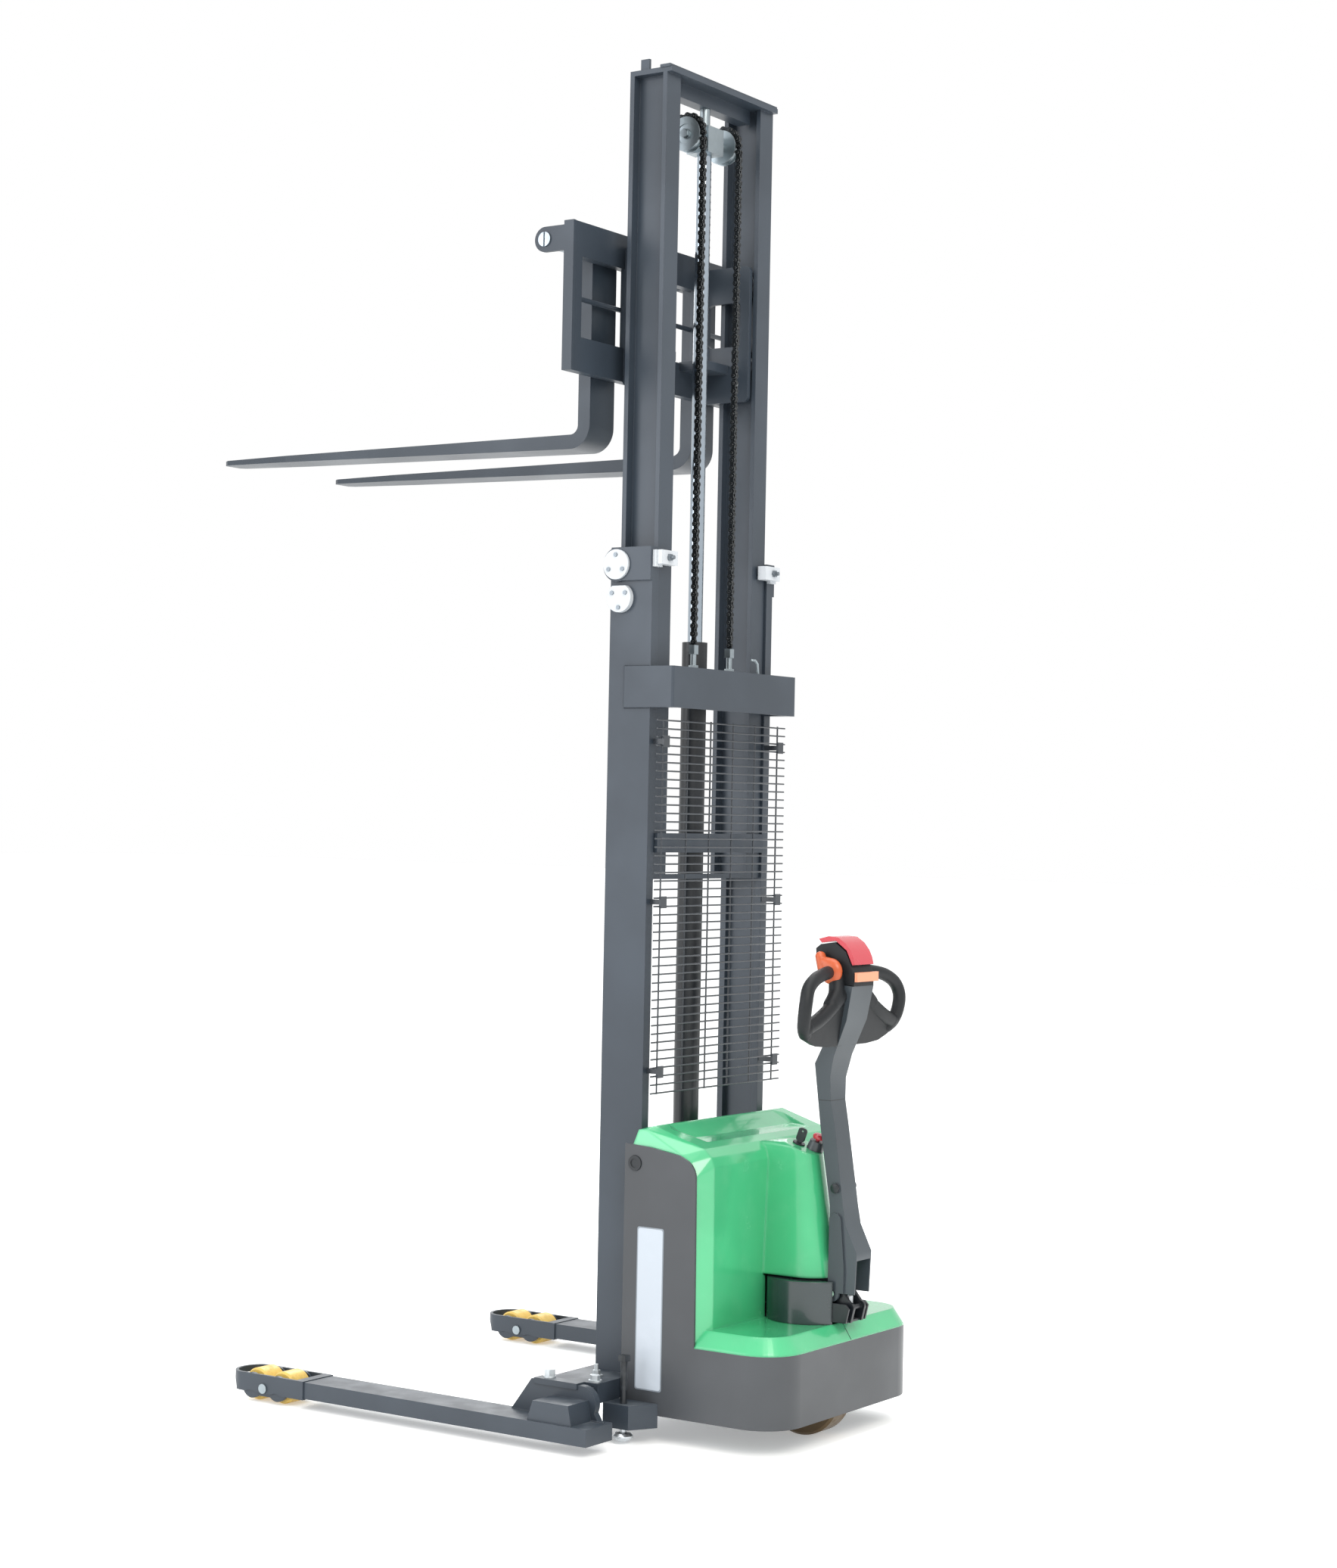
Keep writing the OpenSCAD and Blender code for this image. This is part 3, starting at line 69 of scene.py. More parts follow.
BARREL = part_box("cylinder_barrel")
BARREL_AHEAD = 0.064  # from the mast datum to the axis of the lift cylinder
DATUM = (BARREL[0].y + BARREL[1].y) / 2 + BARREL_AHEAD

SIDES = (("left", -1), ("right", 1))
LOAD_WHEELS = ("wheel_front_left", "wheel_rear_left", "wheel_front_right", "wheel_rear_right")

# Screen colours of the finishes that a user wouldn't change; the tiller arm's cheek colour is
# painted shade
FIXED = {
    "dust": "9aa0a4", "arm_cheek_shade": "2c3338", "joint_line": "171a1c", "worn_link": "b4b8ba",
    "jack_stain": "4a4f53", "jack_foot": "c9ced2", "foot_stain": "8d9397", "hood_haze": "9fdcb8",
    "rocker": "3a3f44", "wire": "33383e", "ring": "243033", "nylon": "b9bec3",
    "zinc": "99a3a8", "screws": "858c92", "bolts": "c9cfd2", "bezel": "3c4145",
    "shaft": "9aa3aa", "chrome": "a9b4be", "rollers": "8f969c", "chain": "26292b",
    "load_wheel_dirt": "8e7334", "drive_wheel_dirt": "4e3b1c", "hub": "8a9198",
    "horn_pad": "dc9270", "pivot_screw": "9fc2ad", "switch": "c9ced2",
    "strip": "aeb6bf", "strip_border": "7b838b",
}


def at(x, y, z):
    """A point in millimetres from the mast datum, as metres in the frame."""
    return Vector((x / 1000, y / 1000 + DATUM, z / 1000))


def mirrored(s, points):
    """The points of one half of the truck: as given for s = 1, and of the other half for -1."""
    return [at(s * x, y, z) for x, y, z in points]


def tint(code):
    """A six-digit screen colour as the linear colour that shaders use."""
    parts = [int(code[i:i + 2], 16) / 255 for i in (0, 2, 4)]
    return tuple(c / 12.92 if c < 0.04045 else ((c + 0.055) / 1.055) ** 2.4 for c in parts)


def fixed(name):
    return tint(FIXED[name])


# ---------------------------------------------------------------- shader maths

class Val:
    """A shader value: arithmetic on it adds Math nodes to its paint."""

    def __init__(self, paint, socket):
        self.paint = paint
        self.socket = socket

    def _math(self, operation, a, b=0.0):
        return self.paint.node("ShaderNodeMath", {"operation": operation}, {0: a, 1: b})

    def __add__(self, other):
        return self._math("ADD", self, other)

    def __radd__(self, other):
        return self._math("ADD", other, self)

    def __sub__(self, other):
        return self._math("SUBTRACT", self, other)

    def __rsub__(self, other):
        return self._math("SUBTRACT", other, self)

    def __mul__(self, other):
        return self._math("MULTIPLY", self, other)

    def __rmul__(self, other):
        return self._math("MULTIPLY", other, self)

    def __abs__(self):
        return self._math("ABSOLUTE", self)

    def band(self, low, high):
        """0 below low, 1 above high, and smooth between them."""
        return self.paint.node("ShaderNodeMapRange", {"interpolation_type": "SMOOTHSTEP"},
                               {"Value": self, "From Min": low, "From Max": high})

    def above(self, edge):
        """1 above the edge and 0 below it."""
        return self._math("GREATER_THAN", self, edge)

    def clamp(self):
        """The value kept between 0 and 1."""
        return self.paint.node("ShaderNodeMath", {"operation": "ADD", "use_clamp": True},
                               {0: self, 1: 0.0})


class Paint:
    """A node material with one Principled shader."""

    # Sockets of a Mix node that is set to colours
    MIX_FACTOR, MIX_A, MIX_B, MIX_OUT = 0, 6, 7, 2

    def __init__(self, name):
        self.material = bpy.data.materials.new(name)
        self.material.use_nodes = True
        self.tree = self.material.node_tree
        self.shader = self.tree.nodes["Principled BSDF"]
        self.place = self.node("ShaderNodeTexCoord", {}, {}, "Object")

    def node(self, kind, settings, sockets, out=0):
        """Adds a node: its settings first, then the values or links of its sockets."""
        made = self.tree.nodes.new(kind)
        for key, value in settings.items():
            setattr(made, key, value)
        for key, value in sockets.items():
            self._feed(made.inputs[key], value)
        return Val(self, made.outputs[out])

    def _feed(self, socket, value):
        if isinstance(value, Val):
            self.tree.links.new(value.socket, socket)
        elif isinstance(value, tuple) and len(value) == 3 and socket.type == "RGBA":
            socket.default_value = (*value, 1.0)
        else:
            socket.default_value = value

    def noise(self, scale, detail=3.0, rough=0.5, stretch=None):
        """Noise from 0 to 1 in the object's own place; stretch scales its axes."""
        place = self.place
        if stretch:
            place = self.node("ShaderNodeMapping", {}, {"Vector": place, "Scale": stretch})
        return self.node("ShaderNodeTexNoise", {}, {
            "Vector": place, "Scale": scale, "Detail": detail, "Roughness": rough})

    def cells(self, scale):
        """How far a point is from the nearest of scattered centres."""
        return self.node("ShaderNodeTexVoronoi", {}, {"Vector": self.place, "Scale": scale},
                         "Distance")

    def mix(self, factor, a, b):
        """Colour a where factor is 0, b where it is 1."""
        sockets = {self.MIX_FACTOR: factor, self.MIX_A: a, self.MIX_B: b}
        return self.node("ShaderNodeMix", {"data_type": "RGBA"}, sockets, self.MIX_OUT)

    def axis(self, index):
        """A coordinate of the place: 0 across, 1 along and 2 up."""
        return self.node("ShaderNodeSeparateXYZ", {}, {0: self.place}, index)

    def facing_up(self):
        """1 on surfaces that face the sky, where dust settles."""
        normal = self.node("ShaderNodeNewGeometry", {}, {}, "Normal")
        return self.node("ShaderNodeSeparateXYZ", {}, {0: normal}, 2).band(0.55, 0.95)

    def rounded(self, radius, samples=4):
        """The normal of an edge broken to this radius."""
        return self.node("ShaderNodeBevel", {"samples": samples}, {"Radius": radius})

    def edges(self, soft):
        """1 on broken edges, where paint rubs thin."""
        normal = self.node("ShaderNodeNewGeometry", {}, {}, "Normal")
        match = self.node("ShaderNodeVectorMath", {"operation": "DOT_PRODUCT"},
                          {0: soft, 1: normal}, "Value")
        return (1.0 - match).band(0.02, 0.22)

    def bump(self, height, strength, distance, soft):
        """A bump over the softened normal."""
        return self.node("ShaderNodeBump", {}, {
            "Height": height, "Strength": strength, "Distance": distance, "Normal": soft})

    def finish(self, colour, rough, normal=None, **constant):
        """Links what varies and sets what doesn't on the shader's own sockets."""
        self._feed(self.shader.inputs["Base Color"], colour)
        self._feed(self.shader.inputs["Roughness"], rough)
        if normal:
            self._feed(self.shader.inputs["Normal"], normal)
        for key, value in constant.items():
            self._feed(self.shader.inputs[key.replace("_", " ")], value)
        return self.material


# ------------------------------------------------------------------- materials

# Where the tiller arm's painted cheek shade and joint line are, and the jacks' plated feet end
ARM_CHEEK = 0.0352
ARM_CHEEK_TOP = 0.53
ARM_NECK = 0.794
JACK_FOOT_TOP = 0.046


def coated_steel(name, colour, rough=0.42, dust=0.25, wear=0.5, edge=0.0012, marks=None):
    """Powder coat: fine orange peel, thin dust on top and paler broken edges.

    marks(paint, base) adds the marks of one part, and any painted shade, to the colour.
    """
    p = Paint(name)
    soft = p.rounded(edge)
    cloud = p.noise(3.5, 4.0).band(0.35, 0.7)
    grain = p.noise(850.0, 1.0)
    rub = p.edges(soft) * p.noise(60.0, 3.0).band(0.38, 0.62) * wear
    settled = p.facing_up() * p.noise(14.0, 5.0).band(0.35, 0.75) * dust
    pale = tuple(min(1.0, c * 1.75 + 0.03) for c in colour)
    deep = tuple(c * 0.8 for c in colour)
    base = p.mix(cloud, deep, colour)
    base = p.mix(settled, base, fixed("dust"))
    base = p.mix(rub, base, pale)
    if marks:
        base = marks(p, base)
    return p.finish(base, rough - 0.08 * cloud + 0.08 * grain,
                    p.bump(grain, 0.09, 0.0006, soft))


def arm_shade_and_joint_line(p, base):
    """Painted shade that darkens the tiller arm's cheeks, and the joint line across its neck."""
    # Painted shade: the arm's cheeks, below ARM_CHEEK_TOP, darkened as if turned away from the
    # light
    cheek_shade = abs(p.axis(0)).above(ARM_CHEEK) * (ARM_CHEEK_TOP - p.axis(2)).above(0.0)
    base = p.mix(cheek_shade * 0.45, base, fixed("arm_cheek_shade"))
    line = 1.0 - abs(p.axis(2) - ARM_NECK).band(0.0005, 0.0013)
    return p.mix(line, base, fixed("joint_line"))


def moulded(name, colour, rough=0.35, grain=0.15, scale=1400.0, coat=0.0, edge=0.001, gloss=0.5):
    """Moulded plastic: a fine spark texture and handling marks."""
    p = Paint(name)
    soft = p.rounded(edge)
    texture = p.noise(scale, 2.0, 0.7)
    marks = p.noise(9.0, 6.0, 0.65).band(0.45, 0.8)
    pale = tuple(min(1.0, c * 1.25 + 0.012) for c in colour)
    base = p.mix(marks * 0.35, colour, pale)
    return p.finish(base, rough + 0.12 * marks, p.bump(texture, grain, 0.0005, soft),
                    Coat_Weight=coat, Specular_IOR_Level=gloss)


def bright_metal(name, colour, rough=0.3, grain=(1.0, 1.0, 1.0), tarnish=0.3):
    """Plated, ground or polished metal with faint stains and turning marks."""
    p = Paint(name)
    soft = p.rounded(0.0006)
    stain = p.noise(22.0, 5.0, 0.6).band(0.4, 0.75)
    lines = p.noise(260.0, 2.0, 0.6, grain)
    dull = tuple(c * 0.62 for c in colour)
    base = p.mix(stain * tarnish, colour, dull)
    return p.finish(base, rough + 0.12 * stain + 0.08 * lines,
                    p.bump(lines, 0.05, 0.0004, soft), Metallic=1.0)


def oiled_chain(name, colour):
    """Leaf chain: dark oiled plates with worn bright faces."""
    p = Paint(name)
    soft = p.rounded(0.0006)
    grease = p.noise(70.0, 5.0, 0.65)
    worn = p.edges(soft) * 0.7 + grease.band(0.62, 0.72) * 0.35
    base = p.mix(worn.clamp(), colour, fixed("worn_link"))
    return p.finish(base, 0.22 + 0.3 * grease, p.bump(grease, 0.12, 0.0006, soft), Metallic=0.85)


def tread(name, colour, dirt):
    """Cast polyurethane: satin, scuffed darker round its running face."""
    p = Paint(name)
    soft = p.rounded(0.0015)
    scuff = p.noise(45.0, 6.0, 0.7).band(0.42, 0.78)
    specks = p.cells(420.0).band(0.0, 0.25)
    base = p.mix(scuff * 0.45, colour, dirt)
    base = p.mix((1.0 - specks) * 0.3, base, dirt)
    return p.finish(base, 0.34 + 0.3 * scuff, p.bump(scuff, 0.12, 0.0008, soft))


def jack_paint(name, colour, plated):
    """A jack's blackened screw above its bright plated foot."""
    p = Paint(name)
    soft = p.rounded(0.0006)
    foot = (JACK_FOOT_TOP - p.axis(2)).above(0.0)
    stain = p.noise(40.0, 4.0, 0.6).band(0.4, 0.7)
    screw_colour = p.mix(stain * 0.3, colour, fixed("jack_stain"))
    foot_colour = p.mix(stain * 0.35, plated, fixed("foot_stain"))
    base = p.mix(foot, screw_colour, foot_colour)
    return p.finish(base, 0.4 - 0.18 * foot + 0.1 * stain, p.bump(stain, 0.05, 0.0004, soft),
                    Metallic=foot * 0.8)


def hood_gloss(name, colour):
    """Glossy moulded hood: clear coat, long soft waves, faint polishing haze."""
    p = Paint(name)
    soft = p.rounded(0.009, 8)
    waves = p.noise(5.0, 2.0, 0.4)
    haze = p.noise(18.0, 3.0, 0.5).band(0.45, 0.9)
    deep = tuple(c * 0.86 for c in colour)
    base = p.mix(waves.band(0.35, 0.7), deep, colour)
    base = p.mix(haze * 0.06, base, fixed("hood_haze"))
    return p.finish(base, 0.2 + 0.12 * haze, p.bump(waves, 0.05, 0.004, soft),
                    Coat_Weight=0.6, Coat_Roughness=0.08, Specular_IOR_Level=0.55)


# ------------------------------------------------------------------ properties

def colour_prop(name, description, code):
    return bpy.props.FloatVectorProperty(
        name=name, description=description, subtype="COLOR", size=3,
        min=0.0, max=1.0, default=tint(code))


def length_prop(name, description, value):
    return bpy.props.FloatProperty(
        name=name, description=description, default=value,
        min=0.0, unit="LENGTH", subtype="DISTANCE")


class StackerColours(bpy.types.PropertyGroup):
    """The colours that a user would change."""
    mast: colour_prop("Mast", "Powder coat of the mast, carriage, chassis and legs", "323b45")
    forks: colour_prop("Forks", "Satin paint of the forks", "28323c")
    hood: colour_prop("Hood", "Glossy moulded hood", "43b079")
    skirt: colour_prop("Skirt", "Paint of the side panels and the skirt", "404347")
    tiller: colour_prop("Tiller", "Paint of the tiller arm", "3a4248")
    grip: colour_prop("Grip", "Textured plastic of the handle and head", "16191c")
    black: colour_prop("Black", "Black steel and mouldings", "151a1f")
    orange: colour_prop("Orange", "Throttle wings", "b5522a")
    red: colour_prop("Red", "Safety reverse cap and stop button", "b5323e")
    load_wheel: colour_prop("Load wheels", "Cast polyurethane of the load wheels", "d8b65c")
    drive_wheel: colour_prop("Drive wheel", "Polyurethane tread of the drive wheel", "54401f")
    floor: colour_prop("Floor", "Studio floor and backdrop", "f4f5f5")


class StackerSizes(bpy.types.PropertyGroup):
    """The sizes of the added detail."""
    weld: length_prop("Weld bead", "Width of a weld bead", 0.006)
    seam: length_prop("Hood seam", "Width of the hood's centre seam", 0.0016)
    strip: length_prop("Blank strip", "Thickness of the bare strip on the side panel", 0.0006)
    grip_radius: length_prop("Grip radius", "Radius of the tubes of the handle's loops", 0.0155)
    hub: length_prop("Hub ring", "How far a wheel's metal hub stands proud", 0.0004)


# --------------------------------------------------------------- piece helpers

# Materials that several operators use, filled by the paints operator
SHARED = {}

BEVEL_ABOVE = math.radians(30)  # edges sharper than this are broken by put()


def paint_node(material, *names):
    """Gives carried-over CAD nodes their material."""
    for name in names:
        slots = NODES[name].data.materials
        slots.clear()
        slots.append(material)


def linked(name, bm, material):
    """An object of a finished bmesh, with one material, in the scene."""
    mesh = bpy.data.meshes.new(name)
    bm.to_mesh(mesh)
    bm.free()
    mesh.materials.append(material)
    made = bpy.data.objects.new(name, mesh)
    bpy.context.scene.collection.objects.link(made)
    return made


def put(name, body, bm, material, bevel=0.0, angle=35.0):
    """Turns a finished bmesh into a piece that rides on a body."""
    if bevel:
        sharp = [e for e in bm.edges
                 if len(e.link_faces) == 2 and e.calc_face_angle(0) > BEVEL_ABOVE]
        bmesh.ops.bevel(bm, geom=sharp, offset=bevel, segments=2, profile=0.5,
                        affect="EDGES", material=-1)
    bmesh.ops.recalc_face_normals(bm, faces=bm.faces)
    for face in bm.faces:
        face.smooth = True
    for edge in bm.edges:
        if len(edge.link_faces) == 2 and edge.calc_face_angle(0) > math.radians(angle):
            edge.smooth = False
    piece = linked(name, bm, material)
    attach(piece, body)
    return piece


def along(run):
    """The matrix that turns z along a run."""
    return run.to_track_quat("Z", "Y").to_matrix().to_4x4()


def block(bm, a, b):
    """A box between two corners in millimetres from the datum."""
    low, high = at(*a), at(*b)
    place = Matrix.Translation((low + high) / 2) @ Matrix.Diagonal((*(high - low), 1.0))
    bmesh.ops.create_cube(bm, size=1.0, matrix=place)


def turned(bm, profile, centre, axis, steps):
    """Spins a profile of (radius, along) in millimetres about an axis through centre."""
    axis = Vector(axis).normalized()
    side = axis.orthogonal().normalized()
    verts = [bm.verts.new(centre + (side * r + axis * z) / 1000) for r, z in profile]
    edges = [bm.edges.new(pair) for pair in zip(verts, verts[1:])]
    bmesh.ops.spin(bm, geom=verts + edges, cent=centre, axis=axis, dvec=(0, 0, 0),
                   angle=math.tau, steps=steps, use_merge=True, use_duplicate=False)
    bmesh.ops.remove_doubles(bm, verts=bm.verts, dist=1e-6)


def ball(bm, centre, radius, sides, rings):
    """A ball, its radius in millimetres."""
    bmesh.ops.create_uvsphere(bm, u_segments=sides, v_segments=rings, radius=radius / 1000,
                              matrix=Matrix.Translation(centre))


def bead(bm, start, end, width):
    """A weld bead between two points: a low ridge with ripples, its width in metres."""
    run = end - start
    turn = along(run)
    steps = max(2, int(run.length / (width * 0.55)))
    for i in range(steps):
        place = Matrix.Translation(start + run * ((i + 0.5) / steps)) @ turn
        bmesh.ops.create_uvsphere(bm, u_segments=8, v_segments=5, radius=width / 2,
                                  matrix=place @ Matrix.Diagonal((1, 1, 0.62, 1)))


def rod(bm, points, radius, sides=12):
    """A round bar bent through points, given its radius in millimetres."""
    for a, b in zip(points, points[1:]):
        bmesh.ops.create_cone(bm, cap_ends=True, segments=sides, radius1=radius / 1000,
                              radius2=radius / 1000, depth=(b - a).length,
                              matrix=Matrix.Translation((a + b) / 2) @ along(b - a))
    for p in points[1:]:
        ball(bm, p, radius, sides, 8)


def cad_copy(node, merge):
    """A copy of a CAD node's mesh in the frame, with points closer than merge made one."""
    bm = bmesh.new()
    bm.from_mesh(NODES[node].data)
    bmesh.ops.transform(bm, matrix=NODES[node].matrix_world, verts=bm.verts)
    bmesh.ops.remove_doubles(bm, verts=bm.verts, dist=merge)
    return bm


def reshaped(node, move):
    """A copy of a CAD node whose points go where move says, in millimetres from the datum."""
    bm = cad_copy(node, 2e-5)
    bmesh.ops.dissolve_limit(bm, angle_limit=math.radians(2), verts=bm.verts, edges=bm.edges)
    for v in bm.verts:
        v.co = at(*move(v.co.x * 1000, (v.co.y - DATUM) * 1000, v.co.z * 1000))
    return bm


def spaced(points, steps=6):
    """Points along a smooth line through the given ones (a Catmull-Rom spline)."""
    out = []
    last = len(points) - 1
    for i in range(last):
        a, b, c, d = (points[max(0, min(last, i + k))] for k in (-1, 0, 1, 2))
        for j in range(steps):
            t = j / steps
            out.append(0.5 * (2 * b + (c - a) * t + (2 * a - 5 * b + 4 * c - d) * t * t
                              + (3 * b - a - 3 * c + d) * t ** 3))
    return out + [points[-1]]


def tube(bm, points, radius, sides=20):
    """A round tube with domed ends along a smooth line, its radius in millimetres."""
    line = spaced(points)
    rings = []
    for i, p in enumerate(line):
        run = line[min(i + 1, len(line) - 1)] - line[max(i - 1, 0)]
        ring = bmesh.ops.create_circle(bm, segments=sides, radius=radius / 1000,
                                       matrix=Matrix.Translation(p) @ along(run))["verts"]
        rings.append(list({e for v in ring for e in v.link_edges}))
    for a, b in zip(rings, rings[1:]):
        bmesh.ops.bridge_loops(bm, edges=a + b)
    for p in (line[0], line[-1]):
        ball(bm, p, radius, sides, 10)


def stretched(bm, balls):
    """The tight skin round a few balls, given as centre and radii in millimetres."""
    loose = bmesh.new()
    for centre, radii in balls:
        bmesh.ops.create_icosphere(
            loose, subdivisions=3, radius=0.001,
            matrix=Matrix.Translation(centre) @ Matrix.Diagonal((*radii, 1.0)))
    verts = [bm.verts.new(v.co) for v in loose.verts]
    loose.free()
    bmesh.ops.convex_hull(bm, input=verts)
    inside = [v for v in verts if v.is_valid and not v.link_faces]
    bmesh.ops.delete(bm, geom=inside, context="VERTS")


def plate(bm, outline, depth):
    """A flat plate from its outline's points, thickened along its normal by millimetres."""
    face = bm.faces.new([bm.verts.new(p) for p in outline])
    face.normal_update()
    step = face.normal * (depth / 1000)
    grown = bmesh.ops.extrude_face_region(bm, geom=[face], use_keep_orig=True)["geom"]
    raised = [g for g in grown if isinstance(g, bmesh.types.BMVert)]
    bmesh.ops.translate(bm, verts=raised, vec=step)


def hexagon(bm, centre, axis, across, high):
    """A hex head or nut that stands on a face."""
    axis = Vector(axis)
    place = Matrix.Translation(centre + axis.normalized() * high / 2000) @ along(axis)
    radius = across / 2000 / math.cos(math.pi / 6)
    bmesh.ops.create_cone(bm, cap_ends=True, segments=6, radius1=radius, radius2=radius * 0.94,
                          depth=high / 1000, matrix=place)


# ------------------------------------------------------------------- operators

class STACKER_OT_paints(bpy.types.Operator):
    """Paint every CAD node with its own finish"""
    bl_idname = "stacker.paints"
    bl_label = "Paint the frame"

    def execute(self, context):
        c = context.scene.stacker_colours
        black = tuple(c.black)
        SHARED["steel"] = coated_steel("mast_coat", tuple(c.mast))
        SHARED["black"] = coated_steel("black_coat", black, 0.36, 0.2, 0.5)
        SHARED["grip"] = moulded("grip_texture", tuple(c.grip), 0.5, 0.4, 1100.0,
                                 edge=0.003, gloss=0.32)
        SHARED["moulding"] = moulded("black_moulding", black, 0.42, 0.3)
        SHARED["zinc"] = bright_metal("zinc_plate", fixed("zinc"), 0.32)
        SHARED["bolt"] = bright_metal("bolt_zinc", fixed("bolts"), 0.46)
        SHARED["chain"] = oiled_chain("chain_oil", fixed("chain"))

        # Painted steel
        paint_node(SHARED["steel"], "chassis_frame", "outer_mast", "rear_crossbeam",
                   "inner_mast", "carriage_frame", "leg_left", "leg_right")
        paint_node(coated_steel("fork_coat", tuple(c.forks), 0.4, 0.3, 0.8),
                   "fork_left", "fork_right")
        paint_node(coated_steel("skirt_coat", tuple(c.skirt), 0.38, 0.3, 0.4), "body_shell")
        paint_node(coated_steel("tiller_coat", tuple(c.tiller), 0.4, 0.2, 0.4, marks=arm_shade_and_joint_line),
                   "tiller_arm")
        paint_node(coated_steel("rocker_coat", fixed("rocker"), 0.45, 0.3, 0.8),
                   "bogie_left", "bogie_right")
        paint_node(SHARED["black"], "cylinder_barrel", "cylinder_gland", "tiller_bracket",
                   "drive_unit", "pump_motor")
        paint_node(coated_steel("wire_coat", fixed("wire"), 0.3, 0.1, 0.6, 0.0006),
                   "mesh_guard", "guard_clips")
        paint_node(jack_paint("jack_coat", black, fixed("jack_foot")), "jack_left", "jack_right")

        # Mouldings and casts
        paint_node(hood_gloss("hood_green", tuple(c.hood)), "hood")
        paint_node(moulded("ring_black", fixed("ring"), 0.22, 0.05, coat=0.4, edge=0.006),
                   "ring_cover")
        paint_node(SHARED["grip"], "handle", "head_cover")
        paint_node(SHARED["moulding"], "battery", "oil_tank", "key", "key_switch")
        paint_node(moulded("orange_moulding", tuple(c.orange), 0.3, 0.1, edge=0.002),
                   "throttle", "horn_button")
        paint_node(moulded("red_moulding", tuple(c.red), 0.26, 0.08, coat=0.3, edge=0.002),
                   "reverse_button", "stop_button")
        paint_node(moulded("white_nylon", fixed("nylon"), 0.4, 0.15),
                   "roller_covers", "wear_pads")
        paint_node(moulded("bezel_grey", fixed("bezel"), 0.3, 0.1), "stop_bezel")
        paint_node(tread("load_wheel_cast", tuple(c.load_wheel), fixed("load_wheel_dirt")),
                   *LOAD_WHEELS)
        paint_node(tread("drive_wheel_cast", tuple(c.drive_wheel), fixed("drive_wheel_dirt")),
                   "drive_wheel")

        # Bare and plated metal
        paint_node(bright_metal("dull_screws", fixed("screws"), 0.4), "mast_bolts")
        paint_node(SHARED["zinc"], "chain_anchors", "chain_pulleys", "crosshead", "controller")
        paint_node(SHARED["bolt"], "clamp_bolts")
        paint_node(bright_metal("ground_shaft", fixed("shaft"), 0.24, (0.02, 1.0, 1.0)),
                   "fork_shaft")
        paint_node(bright_metal("chrome_rod", fixed("chrome"), 0.06, (1.0, 1.0, 0.05), 0.1),
                   "lift_rod")
        paint_node(bright_metal("roller_steel", fixed("rollers"), 0.3), "top_rollers",
                   "bottom_rollers", "upper_rollers", "lower_rollers")
        paint_node(SHARED["chain"], "rear_chains", "front_chains", "chain_wraps")
        return {"FINISHED"}


DRIVE_BOLTS = 6
DRIVE_BOLT_CIRCLE = 50  # radius on which the drive wheel's bolts stand


class STACKER_OT_wheel_hubs(bpy.types.Operator):
    """Add turned hubs and bearings to the load wheels and the drive wheel"""
    bl_idname = "stacker.wheel_hubs"
    bl_label = "Wheel hubs"

    def execute(self, context):
        proud = context.scene.stacker_sizes.hub * 1000
        metal = bright_metal("hub_metal", fixed("hub"), 0.34)
        for name in LOAD_WHEELS:
            low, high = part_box(name)
            face = (high.x - low.x) / 2 * 1000 + proud
            profile = [(7.4, face - 1), (7.4, face), (11, face), (11.6, face - 0.6),
                       (17, face - 0.6), (17.5, face), (24, face), (24.6, face - 1.2)]
            bm = bmesh.new()
            for s in (-1, 1):
                turned(bm, profile, (low + high) / 2, (s, 0, 0), 36)
            put(name + "_hub", name, bm, metal)

        low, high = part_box("drive_wheel")
        middle, half = (low + high) / 2, (high.x - low.x) / 2 * 1000
        disc = half + 0.05
        profile = [(17, half + 0.3), (30, half + 0.3), (33, disc), (70, disc),
                   (73, half + 0.5), (80, half + 0.5), (80.5, half - 1)]
        bm = bmesh.new()
        for s in (-1, 1):
            turned(bm, profile, middle, (s, 0, 0), 48)
            for k in range(DRIVE_BOLTS):
                a = math.radians(360 / DRIVE_BOLTS * k + 20)
                spot = Vector((s * disc, DRIVE_BOLT_CIRCLE * math.cos(a),
                               DRIVE_BOLT_CIRCLE * math.sin(a))) / 1000
                hexagon(bm, middle + spot, (s, 0, 0), 13, 1.6)
        put("drive_wheel_hub", "drive_wheel", bm, metal)
        return {"FINISHED"}


# Weld beads of one half of the truck, each from one point to another
BEAM_WELDS = (((268, -86, 1713), (268, -14, 1713)), ((268, -86, 1811), (268, -14, 1811)))
LEG_WELDS = (((482, -210, 67), (482, 50, 67)), ((462, -785, 66), (462, -787, 30)))


class STACKER_OT_welds(bpy.types.Operator):
    """Add weld beads where plates meet on the mast and the legs"""
    bl_idname = "stacker.welds"
    bl_label = "Weld beads"

    def execute(self, context):
        width = context.scene.stacker_sizes.weld
        bm = bmesh.new()
        for _, s in SIDES:
            for ends in BEAM_WELDS:
                bead(bm, *mirrored(s, ends), width)
        put("crossbeam_welds", "chassis", bm, SHARED["steel"])
        for side, s in SIDES:
            bm = bmesh.new()
            for ends in LEG_WELDS:
                bead(bm, *mirrored(s, ends), width)
            put("leg_welds_" + side, "leg_" + side, bm, SHARED["steel"])
        return {"FINISHED"}


class STACKER_OT_chain_strands(bpy.types.Operator):
    """Stand copies of the chain strands in for the CAD ones"""
    bl_idname = "stacker.chain_strands"
    bl_label = "Chain strands"

    def execute(self, context):
        for node, name, anchored in (("rear_chains", "rear_strands", "chassis"),
                                     ("front_chains", "front_strands", "carriage")):
            piece = linked(name, cad_copy(node, 1e-6), SHARED["chain"])
            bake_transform(piece)
            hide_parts(node)
        return {"FINISHED"}


